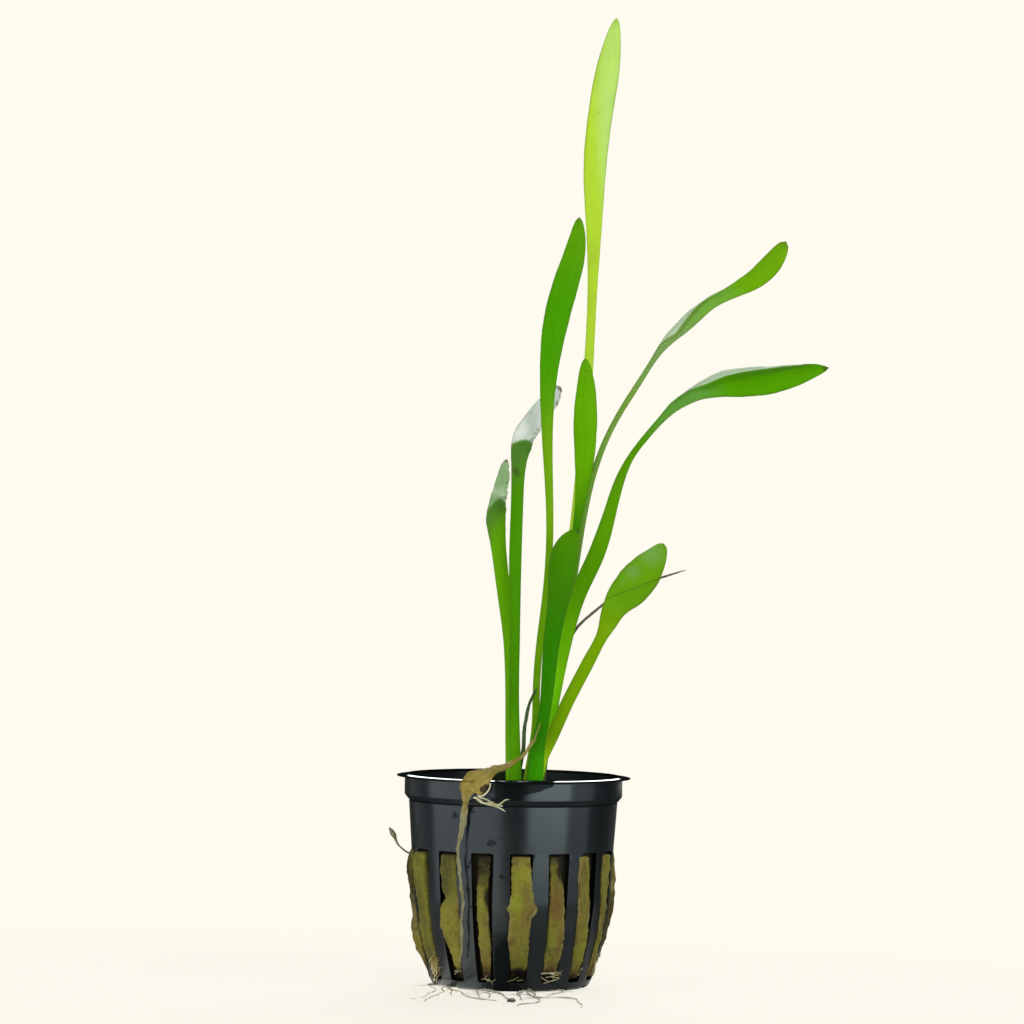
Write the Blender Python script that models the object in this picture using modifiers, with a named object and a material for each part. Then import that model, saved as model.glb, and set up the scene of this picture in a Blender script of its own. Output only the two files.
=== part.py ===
"""Potted dwarf sagittaria: an aquarium plant in a small black net pot.

Sizes are millimetres here and are turned to metres where points are made.
The pot stands on z = 0 with its axis on z; +x is right and -y is the front.
"""
import math

import bmesh
import bpy
import numpy as np

MM = 0.001

# Net pot
POT_HEIGHT = 48.7
FLANGE_RADIUS = 27.0
FLANGE_THICK = 0.6
COLLAR_RADIUS = 25.1
COLLAR_BOTTOM = 44.2
WALL = 0.8
FOOT_HEIGHT = 0.9
FOOT_DISC_RADIUS = 6.0
FOOT_RING_OUTER = 17.2
FOOT_RING_INNER = 14.6
FLOOR_TOP = 1.9
STEPS = 32
SLOTS = 16
SLOT_BOTTOM = 2.0
SLOT_TOP = 31.8
SLOT_HALF_TOP = 2.7
SLOT_HALF_BOTTOM = 1.9
FIRST_SLOT = -17.25
NOTCHES = 12
NOTCH_WIDTH = 3.0
FIRST_NOTCH = -18.0
ROOT_HOLE_FROM = 9.5
ROOT_HOLE_TO = 13.6

# Outer wall from the collar down to the foot, as radius and height
WALL_LINE = ((24.05, 42.7), (23.3, 31.8), (22.7, 19.8), (21.7, 13.0), (20.4, 7.6), (18.8, 1.9))

# Rock wool: gap to the pot and bulge through the slots
GAP = 0.3
WOOL_TOP_EDGE = 44.4
WOOL_TOP_MIDDLE = 45.0
BULGE = 0.9

# Crowns: middle x, y, radius
CROWN_LEFT = (-0.1, -2.5, 2.3)
CROWN_RIGHT = (5.3, -4.5, 2.7)
CROWN_BACK = (4.9, 4.7, 3.4)
CROWN_MIDDLE = 42.4
CROWN_HALF_HEIGHT = 3.9

# Leaves. Each row is a place along the leaf: x, y, z, width, how far the blade is turned
# away from the front and how far its edges curl back, both in degrees.
TALL = (
    (5.2, 7.0, 46.9, 2.1, 0, 20), (9.5, 9.0, 77.2, 2.2, 0, 20), (13.0, 11.0, 105.1, 2.2, 0, 20),
    (15.8, 12.0, 144.8, 2.2, 0, 20), (16.3, 12.0, 160.8, 2.3, 0, 20), (16.4, 11.0, 174.7, 3.7, 0, 25),
    (16.4, 11.0, 189.7, 5.5, 0, 25), (17.4, 10.0, 201.3, 5.8, 0, 20), (19.0, 9.0, 212.2, 5.8, 0, 15),
    (20.8, 9.0, 223.8, 4.8, 0, 10))
LEFT_HIGH = (
    (3.0, 3.0, 46.9, 1.7, 10, 20), (3.9, 3.0, 52.6, 1.7, 10, 20), (4.7, 2.5, 58.9, 1.7, 10, 20),
    (4.9, 1.5, 68.2, 1.7, 10, 20), (5.6, 0.0, 79.8, 1.7, 10, 20), (6.6, -1.3, 89.1, 1.7, 10, 20),
    (7.3, -3.0, 107.3, 1.7, 10, 20), (6.4, -3.0, 126.0, 2.5, 5, 20), (6.5, -2.5, 142.1, 4.3, 0, 20),
    (8.2, -1.0, 154.7, 6.1, 0, 25), (10.3, 0.0, 162.9, 6.1, 0, 20), (12.1, 1.0, 169.8, 5.9, 0, 15),
    (12.9, 2.0, 177.4, 5.3, 0, 10))
MIDDLE = (
    (5.3, 3.0, 46.9, 1.6, 0, 20), (7.5, 3.0, 57.8, 1.8, 0, 20), (10.4, 4.0, 77.4, 1.8, 0, 20),
    (13.0, 4.0, 101.8, 1.8, 0, 20), (14.1, 3.0, 110.6, 2.3, 0, 20), (15.0, 2.2, 120.3, 4.4, 0, 25),
    (15.1, 1.0, 131.1, 5.7, 0, 25), (15.1, 1.0, 138.8, 5.5, 0, 20), (14.8, 1.0, 144.9, 5.3, 0, 10))
RIGHT_HIGH = (
    (5.5, 6.0, 46.9, 1.6, 0, 20), (8.2, 6.0, 57.6, 1.6, 0, 20), (10.9, 7.0, 77.3, 1.6, 0, 20),
    (13.4, 7.0, 95.9, 1.5, 0, 20), (15.4, 6.0, 109.8, 1.5, 0, 20), (18.0, 5.0, 120.8, 1.4, 0, 20),
    (22.3, 5.0, 131.0, 1.3, 0, 20), (27.6, 4.0, 139.9, 1.3, 0, 20), (31.7, 3.0, 146.6, 1.7, -20, 30),
    (34.3, 2.0, 150.2, 3.2, -30, 45), (37.9, 1.0, 153.9, 4.4, -30, 50), (42.4, 0.0, 157.8, 3.9, -30, 45),
    (46.2, -1.0, 159.8, 3.1, -15, 30), (50.8, -1.0, 162.2, 4.0, -10, 25), (55.6, -3.0, 165.7, 5.0, -10, 20),
    (58.8, -4.5, 169.8, 4.6, -10, 15), (60.4, -5.0, 172.5, 4.4, -10, 15))
RIGHT_LOW = (
    (5.1, -1.0, 46.9, 3.1, 0, 20), (7.3, -2.0, 58.0, 3.2, 0, 20), (9.5, -2.0, 70.7, 3.2, 0, 20),
    (11.4, -3.0, 80.7, 3.5, 0, 20), (14.5, -3.0, 91.6, 3.8, 0, 20), (17.6, -3.6, 98.6, 3.9, 0, 20),
    (19.2, -4.0, 103.0, 3.7, 0, 20), (21.3, -5.0, 110.6, 2.9, -10, 25), (23.2, -6.0, 117.3, 2.4, -25, 30),
    (25.5, -6.0, 122.2, 1.6, -25, 30), (29.0, -7.0, 127.1, 1.5, -20, 30),
    (33.3, -7.0, 132.2, 2.0, -20, 30), (36.2, -8.0, 135.1, 3.2, -30, 40),
    (39.3, -8.0, 137.2, 4.3, -30, 50), (42.2, -8.5, 138.8, 5.8, -30, 50),
    (45.7, -9.0, 140.1, 7.6, -30, 50), (50.7, -9.0, 140.9, 8.8, -30, 50),
    (56.6, -10.0, 141.4, 8.5, -30, 50), (63.9, -10.0, 142.5, 7.1, -25, 40),
    (70.5, -10.0, 143.7, 5.3, -10, 20))
FRONT = (
    (4.9, -8.0, 46.9, 3.8, 0, 20), (5.2, -8.1, 53.2, 3.5, 0, 20), (5.9, -8.3, 58.3, 3.0, 0, 20),
    (6.9, -8.5, 64.1, 2.8, 0, 20), (7.5, -8.7, 71.0, 3.2, 0, 20), (8.1, -9.0, 79.0, 3.8, 0, 22),
    (9.5, -10.0, 89.4, 5.2, 0, 25), (10.2, -10.0, 94.7, 6.4, 0, 25), (10.7, -10.0, 99.3, 6.6, 0, 20),
    (11.8, -10.0, 102.7, 6.2, 0, 15), (13.7, -10.0, 105.6, 5.5, 0, 10))
LOWER_RIGHT = (
    (5.1, -4.0, 46.9, 2.6, 0, 20), (6.3, -4.2, 52.4, 2.8, 0, 20), (8.3, -4.5, 57.0, 2.9, 0, 20),
    (10.3, -5.0, 61.7, 2.9, 0, 20), (12.2, -5.5, 66.1, 2.9, 0, 20), (14.6, -6.0, 71.0, 2.9, 0, 20),
    (17.4, -7.0, 76.6, 2.8, 0, 20), (19.8, -8.0, 81.5, 2.9, 0, 12), (21.1, -8.0, 84.5, 4.3, 5, 0),
    (22.1, -9.0, 87.1, 5.5, 8, -15), (23.5, -9.0, 89.5, 7.1, 10, -20), (25.6, -10.0, 92.0, 8.6, 10, -20),
    (27.6, -10.0, 94.5, 8.9, 10, -20), (29.7, -11.0, 97.1, 8.1, 10, -15), (31.6, -11.0, 99.6, 6.7, 5, -10),
    (33.4, -11.0, 102.8, 5.8, 0, -5))
LEFT_FOLD = (
    (0.5, -4.0, 46.9, 2.9, 0, 20), (0.1, -4.5, 57.6, 2.4, 0, 20), (-0.2, -4.7, 66.1, 2.3, 0, 20),
    (-0.3, -5.0, 79.9, 2.4, 0, 20), (-0.4, -5.0, 89.1, 2.6, 0, 20), (-0.5, -5.0, 98.0, 2.9, 0, 20),
    (-0.3, -5.0, 112.1, 2.9, 0, 20), (-0.2, -5.0, 118.0, 3.2, 0, 20), (0.1, -5.0, 122.2, 4.1, 5, 20),
    (0.9, -3.5, 125.6, 5.5, 20, 25), (2.5, 0.0, 128.7, 5.6, 25, 20), (4.6, 5.0, 131.9, 5.1, 25, 20),
    (7.1, 12.0, 135.1, 4.5, 20, 15), (9.2, 19.0, 138.4, 3.9, 10, 10))
LEFT_LOW = (
    (-0.4, -1.0, 46.9, 2.8, 0, 20), (-0.7, -1.0, 57.4, 2.8, 0, 20), (-0.9, -1.0, 68.2, 2.8, 0, 20),
    (-1.2, -1.0, 75.1, 2.8, 0, 20), (-1.7, -1.0, 80.9, 2.8, 0, 20), (-2.6, -1.0, 88.0, 3.1, 0, 20),
    (-3.8, -1.0, 96.5, 3.3, 0, 20), (-4.7, -1.0, 103.2, 3.9, 0, 20), (-5.1, -1.0, 107.4, 4.6, 0, 20),
    (-4.8, 0.0, 110.5, 4.3, 10, 20), (-4.2, 6.0, 113.9, 3.6, 10, 15), (-3.5, 12.0, 117.5, 3.0, 10, 10),
    (-3.0, 18.0, 121.1, 2.8, 10, 10))
DEAD = (
    (5.1, -9.9, 58.7, 0.4, 0, 20), (4.5, -10.0, 57.2, 0.7, 0, 20), (3.7, -10.1, 56.0, 0.8, 0, 20),
    (2.9, -10.4, 54.9, 0.8, 0, 20), (1.8, -11.0, 53.4, 0.8, 0, 20), (0.5, -12.5, 52.5, 1.2, 0, 20),
    (-1.4, -15.2, 51.5, 1.5, 10, 20), (-3.2, -18.6, 51.0, 1.7, 10, 20), (-4.7, -23.0, 50.8, 2.3, 15, 25),
    (-6.6, -27.9, 49.9, 4.1, 20, 30), (-8.8, -28.5, 48.5, 6.5, 20, 35), (-10.5, -28.2, 46.9, 4.6, 15, 30),
    (-10.8, -27.2, 44.7, 2.0, 10, 20), (-11.1, -23.2, 41.7, 1.5, 0, 20), (-11.4, -22.5, 38.2, 1.4, 0, 20),
    (-11.9, -22.3, 35.4, 1.1, 0, 20), (-12.4, -22.0, 32.9, 0.8, 0, 20), (-12.2, -22.0, 29.7, 0.8, 0, 20),
    (-11.8, -21.8, 26.5, 0.7, 0, 20), (-11.4, -21.8, 22.9, 0.7, 0, 20), (-11.0, -21.7, 19.7, 0.6, 0, 20),
    (-11.3, -21.1, 16.0, 0.6, 0, 20), (-11.2, -20.5, 12.3, 0.6, 0, 20), (-11.4, -19.6, 9.2, 0.5, 0, 20),
    (-11.6, -18.6, 6.6, 0.5, 0, 20))

# name: rows, steps along, where the tip starts, how blunt it is, stem and blade thickness,
# and where along the leaf the stem ends and the full blade begins
LEAVES = {
    "leaf_tall": (TALL, 22, 0.90, 0.52, 1.2, 0.6, 0.64, 0.78),
    "leaf_left_high": (LEFT_HIGH, 24, 0.86, 0.50, 1.1, 0.6, 0.60, 0.75),
    "leaf_middle": (MIDDLE, 18, 0.83, 0.52, 1.1, 0.6, 0.62, 0.78),
    "leaf_right_high": (RIGHT_HIGH, 30, 0.95, 0.45, 1.0, 0.6, 0.72, 0.80),
    "leaf_right_low": (RIGHT_LOW, 32, 0.88, 0.62, 1.2, 0.6, 0.62, 0.76),
    "leaf_front": (FRONT, 18, 0.86, 0.55, 1.2, 0.7, 0.55, 0.80),
    "leaf_lower_right": (LOWER_RIGHT, 22, 0.86, 0.48, 1.3, 0.6, 0.55, 0.75),
    "leaf_left_fold": (LEFT_FOLD, 24, 0.92, 0.45, 1.2, 0.6, 0.60, 0.75),
    "leaf_left_low": (LEFT_LOW, 22, 0.88, 0.50, 1.2, 0.6, 0.60, 0.75),
    "dead_leaf": (DEAD, 44, 0.97, 0.50, 0.6, 0.6, 0.20, 0.40),
}

# Thin round pieces: diameter at the start and at the end, then the points they run through
NEEDLE = (0.7, 0.5, ((7.0, 1.4, 46.9), (7.8, 0.0, 55.6), (9.4, -1.0, 68.4), (11.5, -1.5, 78.1),
                     (13.8, -2.0, 82.6), (18.1, -2.0, 86.8), (23.7, -3.0, 91.1), (31.0, -4.0, 94.1),
                     (38.8, -5.0, 96.7)))
SHOOT = (1.1, 0.6, ((1.1, 1.2, 46.9), (1.5, 0.8, 51.1), (2.1, 0.3, 54.3), (2.2, 0.0, 56.9),
                    (2.3, 0.0, 59.4), (2.7, 0.0, 62.0), (3.2, -0.4, 64.6), (4.0, -0.8, 66.7),
                    (5.0, -1.4, 68.8)))
SPRIG = (0.6, 0.9, ((-24.6, -2.5, 30.7), (-25.2, -2.6, 31.2), (-25.9, -2.8, 31.8), (-26.6, -3.0, 32.7),
                    (-27.1, -3.0, 33.9), (-28.5, -3.0, 36.2)))
RIM_ROOTS = {
    "rim_root_1": (0.4, 0.4, ((-9.1, -27.0, 44.8), (-8.0, -26.9, 44.4), (-6.7, -26.5, 43.5),
                              (-4.8, -26.3, 43.0), (-3.0, -26.1, 42.4), (-1.7, -25.9, 41.6))),
    "rim_root_2": (0.4, 0.4, ((-5.3, -29.0, 48.2), (-5.4, -29.2, 47.2), (-5.9, -29.3, 46.3),
                              (-6.7, -29.4, 45.5), (-7.7, -29.3, 45.3), (-8.3, -29.2, 45.5))),
}
# Roots: azimuth of the notch they leave by, place in the notch, then x, y on the floor
ROOT_THICK = 0.5
ROOT_HEIGHT = 0.28
FLOOR_ROOTS = {
    "root_1": (-78, 0.8, ((-18, -13), (-17.2, -24), (-18.5, -31), (-20.8, -43), (-24.3, -48))),
    "root_2": (-48, -0.8, ((-15, -24), (-15.8, -30), (-17.2, -37), (-18.7, -45), (-19.5, -52))),
    "root_3": (-48, 0.8, ((-12, -21.5), (-10.8, -29), (-9.2, -36), (-6.3, -41.5), (-2.8, -45))),
    "root_4": (-18, -0.8, ((-7.5, -24), (-7.2, -31), (-7, -37))),
    "root_5": (-18, 0.0, ((-5.2, -25), (-4.6, -32), (-5, -39))),
    "root_6": (-18, 0.8, ((-3.2, -23), (-1.6, -32), (-0.5, -41), (0.3, -48.5))),
    "root_7": (12, -0.8, ((2, -24), (2.4, -35), (2.6, -44))),
    "root_8": (12, 0.0, ((4, -25), (5.2, -33), (6.6, -40), (5.8, -48.4), (3, -52.3), (1.7, -60))),
    "root_9": (12, 0.8, ((5.7, -25), (7.2, -35), (9.8, -33.7), (12.7, -34.3), (15, -43.3), (16, -50.5),
                         (15.3, -60))),
    "root_10": (42, -0.8, ((11, -22), (9.2, -27), (8.6, -31))),
    "root_11": (-48, 0.0, ((-13.6, -20.5), (-13.4, -28), (-13, -33))),
}

GREEN = (0.10, 0.32, 0.02)
COLOURS = {
    "net_pot": (0.012, 0.014, 0.016), "rockwool_plug": (0.20, 0.17, 0.07),
    "leaf_tall": (0.38, 0.62, 0.08), "dead_leaf": (0.52, 0.36, 0.14),
}


def clear_scene():
    for thing in list(bpy.data.objects):
        bpy.data.objects.remove(thing, do_unlink=True)


def collection(name, hidden=False):
    made = bpy.data.collections.new(name)
    bpy.context.scene.collection.children.link(made)
    made.hide_render = hidden
    return made


def paint(thing, colour, roughness=0.5):
    material = bpy.data.materials.new(thing.name)
    material.use_nodes = True
    shader = material.node_tree.nodes["Principled BSDF"]
    shader.inputs["Base Color"].default_value = (*colour, 1.0)
    shader.inputs["Roughness"].default_value = roughness
    thing.data.materials.clear()
    thing.data.materials.append(material)


def mesh_object(name, points, faces, home):
    """A mesh from points in millimetres, with its faces turned outward."""
    mesh = bpy.data.meshes.new(name)
    mesh.from_pydata([tuple(float(c) * MM for c in point) for point in points], [], faces)
    work = bmesh.new()
    work.from_mesh(mesh)
    bmesh.ops.recalc_face_normals(work, faces=work.faces)
    work.to_mesh(mesh)
    work.free()
    thing = bpy.data.objects.new(name, mesh)
    home.objects.link(thing)
    return thing


def apply_all(thing):
    graph = bpy.context.evaluated_depsgraph_get()
    mesh = bpy.data.meshes.new_from_object(thing.evaluated_get(graph), depsgraph=graph)
    thing.modifiers.clear()
    thing.data = mesh
    return thing


def revolve(name, profile, home, steps=STEPS):
    """A solid of revolution: the profile of radius and height is spun about z."""
    points = [(radius, 0.0, height) for radius, height in profile]
    edges = [(k, k + 1) for k in range(len(points) - 1)]
    if profile[0][0] > 0 or profile[-1][0] > 0:
        edges.append((len(points) - 1, 0))
    mesh = bpy.data.meshes.new(name)
    mesh.from_pydata([tuple(c * MM for c in point) for point in points], edges, [])
    thing = bpy.data.objects.new(name, mesh)
    home.objects.link(thing)
    spin = thing.modifiers.new("spin", "SCREW")
    spin.steps = steps
    spin.render_steps = steps
    spin.use_merge_vertices = True
    spin.merge_threshold = 0.00001
    apply_all(thing)
    work = bmesh.new()
    work.from_mesh(thing.data)
    bmesh.ops.recalc_face_normals(work, faces=work.faces)
    work.to_mesh(thing.data)
    work.free()
    return thing


def boolean(thing, other, operation):
    step = thing.modifiers.new(operation.lower(), "BOOLEAN")
    step.operation = operation
    step.solver = "EXACT"
    step.object = other
    apply_all(thing)


def polar(azimuth, radius, sideways=0.0):
    """Azimuth is counted from the front, positive to the right; sideways is along the rim."""
    a = math.radians(azimuth)
    return (radius * math.sin(a) + sideways * math.cos(a), -radius * math.cos(a) + sideways * math.sin(a))


def wedge_ring(name, count, first, near, far, levels, home):
    """A ring of boxes, each from radius near to far; levels are height and half width."""
    points, faces = [], []
    for k in range(count):
        azimuth = first + k * 360.0 / count
        base = len(points)
        for height, half in levels:
            for radius, side in ((near, -half), (far, -half), (far, half), (near, half)):
                points.append((*polar(azimuth, radius, side), height))
        for level in range(len(levels) - 1):
            low = base + 4 * level
            for j in range(4):
                faces.append((low + j, low + (j + 1) % 4, low + 4 + (j + 1) % 4, low + 4 + j))
        top = base + 4 * (len(levels) - 1)
        faces.append((base + 3, base + 2, base + 1, base))
        faces.append((top, top + 1, top + 2, top + 3))
    return mesh_object(name, points, faces, home)


def wall_radius(height):
    heights = [z for _, z in reversed(WALL_LINE)]
    radii = [r for r, _ in reversed(WALL_LINE)]
    return float(np.interp(height, heights, radii))


def slot_half(height):
    share = (height - SLOT_BOTTOM) / (SLOT_TOP - SLOT_BOTTOM)
    return SLOT_HALF_BOTTOM + (SLOT_HALF_TOP - SLOT_HALF_BOTTOM) * share


def make_pot(home, cutters):
    outside = [
        (FLANGE_RADIUS, POT_HEIGHT), (FLANGE_RADIUS, POT_HEIGHT - FLANGE_THICK),
        (COLLAR_RADIUS, POT_HEIGHT - FLANGE_THICK), (COLLAR_RADIUS, COLLAR_BOTTOM), *WALL_LINE,
        (18.0, 0.5), (FOOT_RING_OUTER, 0.0), (FOOT_RING_INNER, 0.0), (FOOT_RING_INNER, FOOT_HEIGHT),
        (FOOT_DISC_RADIUS, FOOT_HEIGHT), (FOOT_DISC_RADIUS, 0.0), (0.0, 0.0),
    ]
    inside = [(0.0, FLOOR_TOP)]
    inside += [(radius - WALL, height) for radius, height in reversed(WALL_LINE)]
    inside += [(COLLAR_RADIUS - WALL, COLLAR_BOTTOM + 0.2), (COLLAR_RADIUS - WALL, POT_HEIGHT)]
    pot = revolve("net_pot", outside + inside, home)
    slots = wedge_ring("slot_cutter", SLOTS, FIRST_SLOT, 15.0, 29.0,
                       ((SLOT_BOTTOM, SLOT_HALF_BOTTOM), (SLOT_TOP, SLOT_HALF_TOP)), cutters)
    boolean(pot, slots, "DIFFERENCE")
    half = NOTCH_WIDTH / 2
    notches = wedge_ring("notch_cutter", NOTCHES, FIRST_NOTCH, ROOT_HOLE_FROM + 0.5, 20.0,
                         ((-1.0, half), (FOOT_HEIGHT - 0.15, half)), cutters)
    boolean(pot, notches, "DIFFERENCE")
    holes = wedge_ring("hole_cutter", NOTCHES, FIRST_NOTCH, ROOT_HOLE_FROM, ROOT_HOLE_TO,
                       ((-0.6, half - 0.2), (FLOOR_TOP + 0.6, half - 0.2)), cutters)
    boolean(pot, holes, "DIFFERENCE")
    return pot


def ellipsoid(name, middle, half_width, half_height, home, segments=12, rings=8):
    bpy.ops.mesh.primitive_uv_sphere_add(segments=segments, ring_count=rings, radius=1.0)
    thing = bpy.context.object
    for old in list(thing.users_collection):
        old.objects.unlink(thing)
    home.objects.link(thing)
    thing.name = name
    for vertex in thing.data.vertices:
        x, y, z = vertex.co
        vertex.co = ((middle[0] + x * half_width) * MM, (middle[1] + y * half_width) * MM,
                     (middle[2] + z * half_height) * MM)
    return thing


def make_wool(home, cutters):
    inner = [(wall_radius(z) - WALL - GAP, z) for z in (31.8, 19.8, 13.0, 7.6)]
    profile = [(0.0, WOOL_TOP_MIDDLE), (22.4, WOOL_TOP_EDGE), (22.7, 40.0), *inner,
               (wall_radius(2.2) - WALL - GAP, FLOOR_TOP + GAP), (0.0, FLOOR_TOP + GAP)]
    wool = revolve("rockwool_plug", profile, home)
    low, high = SLOT_BOTTOM + 0.4, SLOT_TOP - 0.4
    lobes = wedge_ring("wool_lobes", SLOTS, FIRST_SLOT, 14.0, 30.0,
                       ((low, slot_half(low) - 0.35), (high, slot_half(high) - 0.35)), cutters)
    swell = revolve("wool_swell", [(0.0, 36.0), (23.4 + BULGE, 36.0), (22.7 + BULGE, 19.8),
                                   (20.4 + BULGE, 7.6), (18.4 + BULGE, 0.5), (0.0, 0.5)], cutters)
    boolean(lobes, swell, "INTERSECT")
    boolean(wool, lobes, "UNION")
    for k, (x, y, radius) in enumerate((CROWN_LEFT, CROWN_RIGHT, CROWN_BACK)):
        pocket = ellipsoid("pocket_%d" % k, (x, y, CROWN_MIDDLE), radius + GAP,
                           CROWN_HALF_HEIGHT + GAP, cutters)
        boolean(wool, pocket, "DIFFERENCE")
    return wool


def smooth_rows(rows, count):
    """A natural cubic spline through the rows, spaced by distance and cut into even steps."""
    rows = np.asarray(rows, float)
    gaps = np.linalg.norm(np.diff(rows[:, :3], axis=0), axis=1)
    place = np.concatenate(([0.0], np.cumsum(gaps))) / gaps.sum()
    h = np.diff(place)
    number = len(rows)
    system = np.eye(number)
    wanted = np.zeros_like(rows)
    for i in range(1, number - 1):
        system[i, i - 1:i + 2] = h[i - 1], 2 * (h[i - 1] + h[i]), h[i]
        wanted[i] = 6 * ((rows[i + 1] - rows[i]) / h[i] - (rows[i] - rows[i - 1]) / h[i - 1])
    bend = np.linalg.solve(system, wanted)
    at = np.linspace(0, 1, count)
    k = np.clip(np.searchsorted(place, at, side="right") - 1, 0, number - 2)
    size = h[k][:, None]
    a = (place[k + 1] - at)[:, None] / size
    b = 1 - a
    cubic = ((a ** 3 - a) * bend[k] + (b ** 3 - b) * bend[k + 1]) * size ** 2 / 6
    return a * rows[k] + b * rows[k + 1] + cubic


def make_leaf(name, shape, home, around=8):
    """A leaf: flattened rings along its rows, each bent to an arc by the curl."""
    rows, steps, tip_from, blunt, stem, blade, stem_end, blade_full = shape
    line = smooth_rows(rows, steps)
    middle, width = line[:, :3], line[:, 3]
    turn, curl = np.radians(line[:, 4]), np.radians(line[:, 5])
    curl = np.where(np.abs(curl) < 0.01, 0.01, curl)
    along = np.gradient(middle, axis=0)
    along /= np.linalg.norm(along, axis=1)[:, None]
    share = np.linspace(0, 1, steps)
    tip = np.clip((share - tip_from) / (1 - tip_from), 0, 1)
    width = np.maximum(width * (1 - tip ** 2) ** blunt, 0.45)
    blend = np.clip((share - stem_end) / (blade_full - stem_end), 0, 1)
    blend = blend * blend * (3 - 2 * blend)
    thick = np.minimum(stem + (blade - stem) * blend, width)
    across = np.cross((0.0, 1.0, 0.0), along)
    across /= np.linalg.norm(across, axis=1)[:, None]
    face = np.cross(along, across)
    side = across * np.cos(turn)[:, None] + face * np.sin(turn)[:, None]
    lift = np.cross(along, side)
    points, faces = [], []
    for i in range(steps):
        for j in range(around):
            angle = 2 * math.pi * j / around
            bow = curl[i] * math.cos(angle)
            radius = width[i] / 2 / curl[i] - thick[i] / 2 * math.sin(angle)
            points.append(middle[i] + side[i] * radius * math.sin(bow)
                          + lift[i] * (width[i] / 2 / curl[i] - radius * math.cos(bow)))
    for i in range(steps - 1):
        for j in range(around):
            low, next_j = i * around, (j + 1) % around
            faces.append((low + j, low + next_j, low + around + next_j, low + around + j))
    faces.append(tuple(range(around)))
    faces.append(tuple(range((steps - 1) * around, steps * around)))
    leaf = mesh_object(name, points, faces, home)
    paint(leaf, COLOURS.get(name, GREEN), 0.35)
    return leaf


def make_tube(name, shape, home, steps=0, resolution=1):
    """A thin round piece: a curve through the points with a bevel and closed ends."""
    start, end, points = shape
    if steps:
        points = [tuple(row) for row in smooth_rows(points, steps)]
    curve = bpy.data.curves.new(name, "CURVE")
    curve.dimensions = "3D"
    curve.bevel_depth = 0.5 * MM
    curve.bevel_resolution = resolution
    curve.use_fill_caps = True
    line = curve.splines.new("POLY")
    line.points.add(len(points) - 1)
    for k, point in enumerate(points):
        share = k / (len(points) - 1)
        line.points[k].co = (*(c * MM for c in point), 1.0)
        line.points[k].radius = start + (end - start) * share
    tube = bpy.data.objects.new(name, curve)
    home.objects.link(tube)
    graph = bpy.context.evaluated_depsgraph_get()
    mesh = bpy.data.meshes.new_from_object(tube.evaluated_get(graph), depsgraph=graph)
    work = bmesh.new()
    work.from_mesh(mesh)
    bmesh.ops.remove_doubles(work, verts=work.verts, dist=0.000001)
    bmesh.ops.recalc_face_normals(work, faces=work.faces)
    work.to_mesh(mesh)
    work.free()
    bpy.data.objects.remove(tube, do_unlink=True)
    thing = bpy.data.objects.new(name, mesh)
    home.objects.link(thing)
    return thing


def make_roots(home):
    for name, (azimuth, aside, floor) in FLOOR_ROOTS.items():
        inside = [(*polar(azimuth, 12.2, aside), 1.7), (*polar(azimuth, 12.5, aside), 0.9),
                  (*polar(azimuth, 13.4, aside), 0.4)]
        outside = [(*polar(azimuth, 14.6, aside), ROOT_HEIGHT), (*polar(azimuth, 18.6, aside), ROOT_HEIGHT)]
        outside += [(x, y, ROOT_HEIGHT) for x, y in floor]
        points = inside + [tuple(row) for row in smooth_rows(outside, 5 + len(floor))]
        root = make_tube(name, (ROOT_THICK, ROOT_THICK - 0.1, points), home)
        paint(root, (0.45, 0.38, 0.25), 0.6)


def main():
    clear_scene()
    home = collection("potted_dwarf_sagittaria")
    cutters = collection("cutters", hidden=True)
    pot = make_pot(home, cutters)
    paint(pot, COLOURS["net_pot"], 0.3)
    wool = make_wool(home, cutters)
    paint(wool, COLOURS["rockwool_plug"], 0.95)
    for name, (x, y, radius) in (("crown_left", CROWN_LEFT), ("crown_right", CROWN_RIGHT),
                                 ("crown_back", CROWN_BACK)):
        crown = ellipsoid(name, (x, y, CROWN_MIDDLE), radius, CROWN_HALF_HEIGHT, home)
        paint(crown, (0.30, 0.40, 0.10), 0.6)
    for name, shape in LEAVES.items():
        make_leaf(name, shape, home)
    for name, shape, steps in (("leaf_needle", NEEDLE, 18), ("shoot", SHOOT, 10), ("side_sprig", SPRIG, 8)):
        paint(make_tube(name, shape, home, steps=steps), (0.08, 0.14, 0.04), 0.5)
    for name, shape in RIM_ROOTS.items():
        paint(make_tube(name, shape, home, steps=8), (0.55, 0.45, 0.28), 0.6)
    make_roots(home)
    for thing in cutters.objects:
        thing.hide_render = True
        thing.display_type = "WIRE"


main()
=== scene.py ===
"""Looks of a potted dwarf sagittaria: leaves, rock wool and roots in a black net pot.

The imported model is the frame. Each piece here is a surface worked out with numpy in
millimetres, then put into a mesh in metres at the place its solid has.
"""
import math

import bmesh
import bpy
import numpy as np
from mathutils import Matrix


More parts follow.
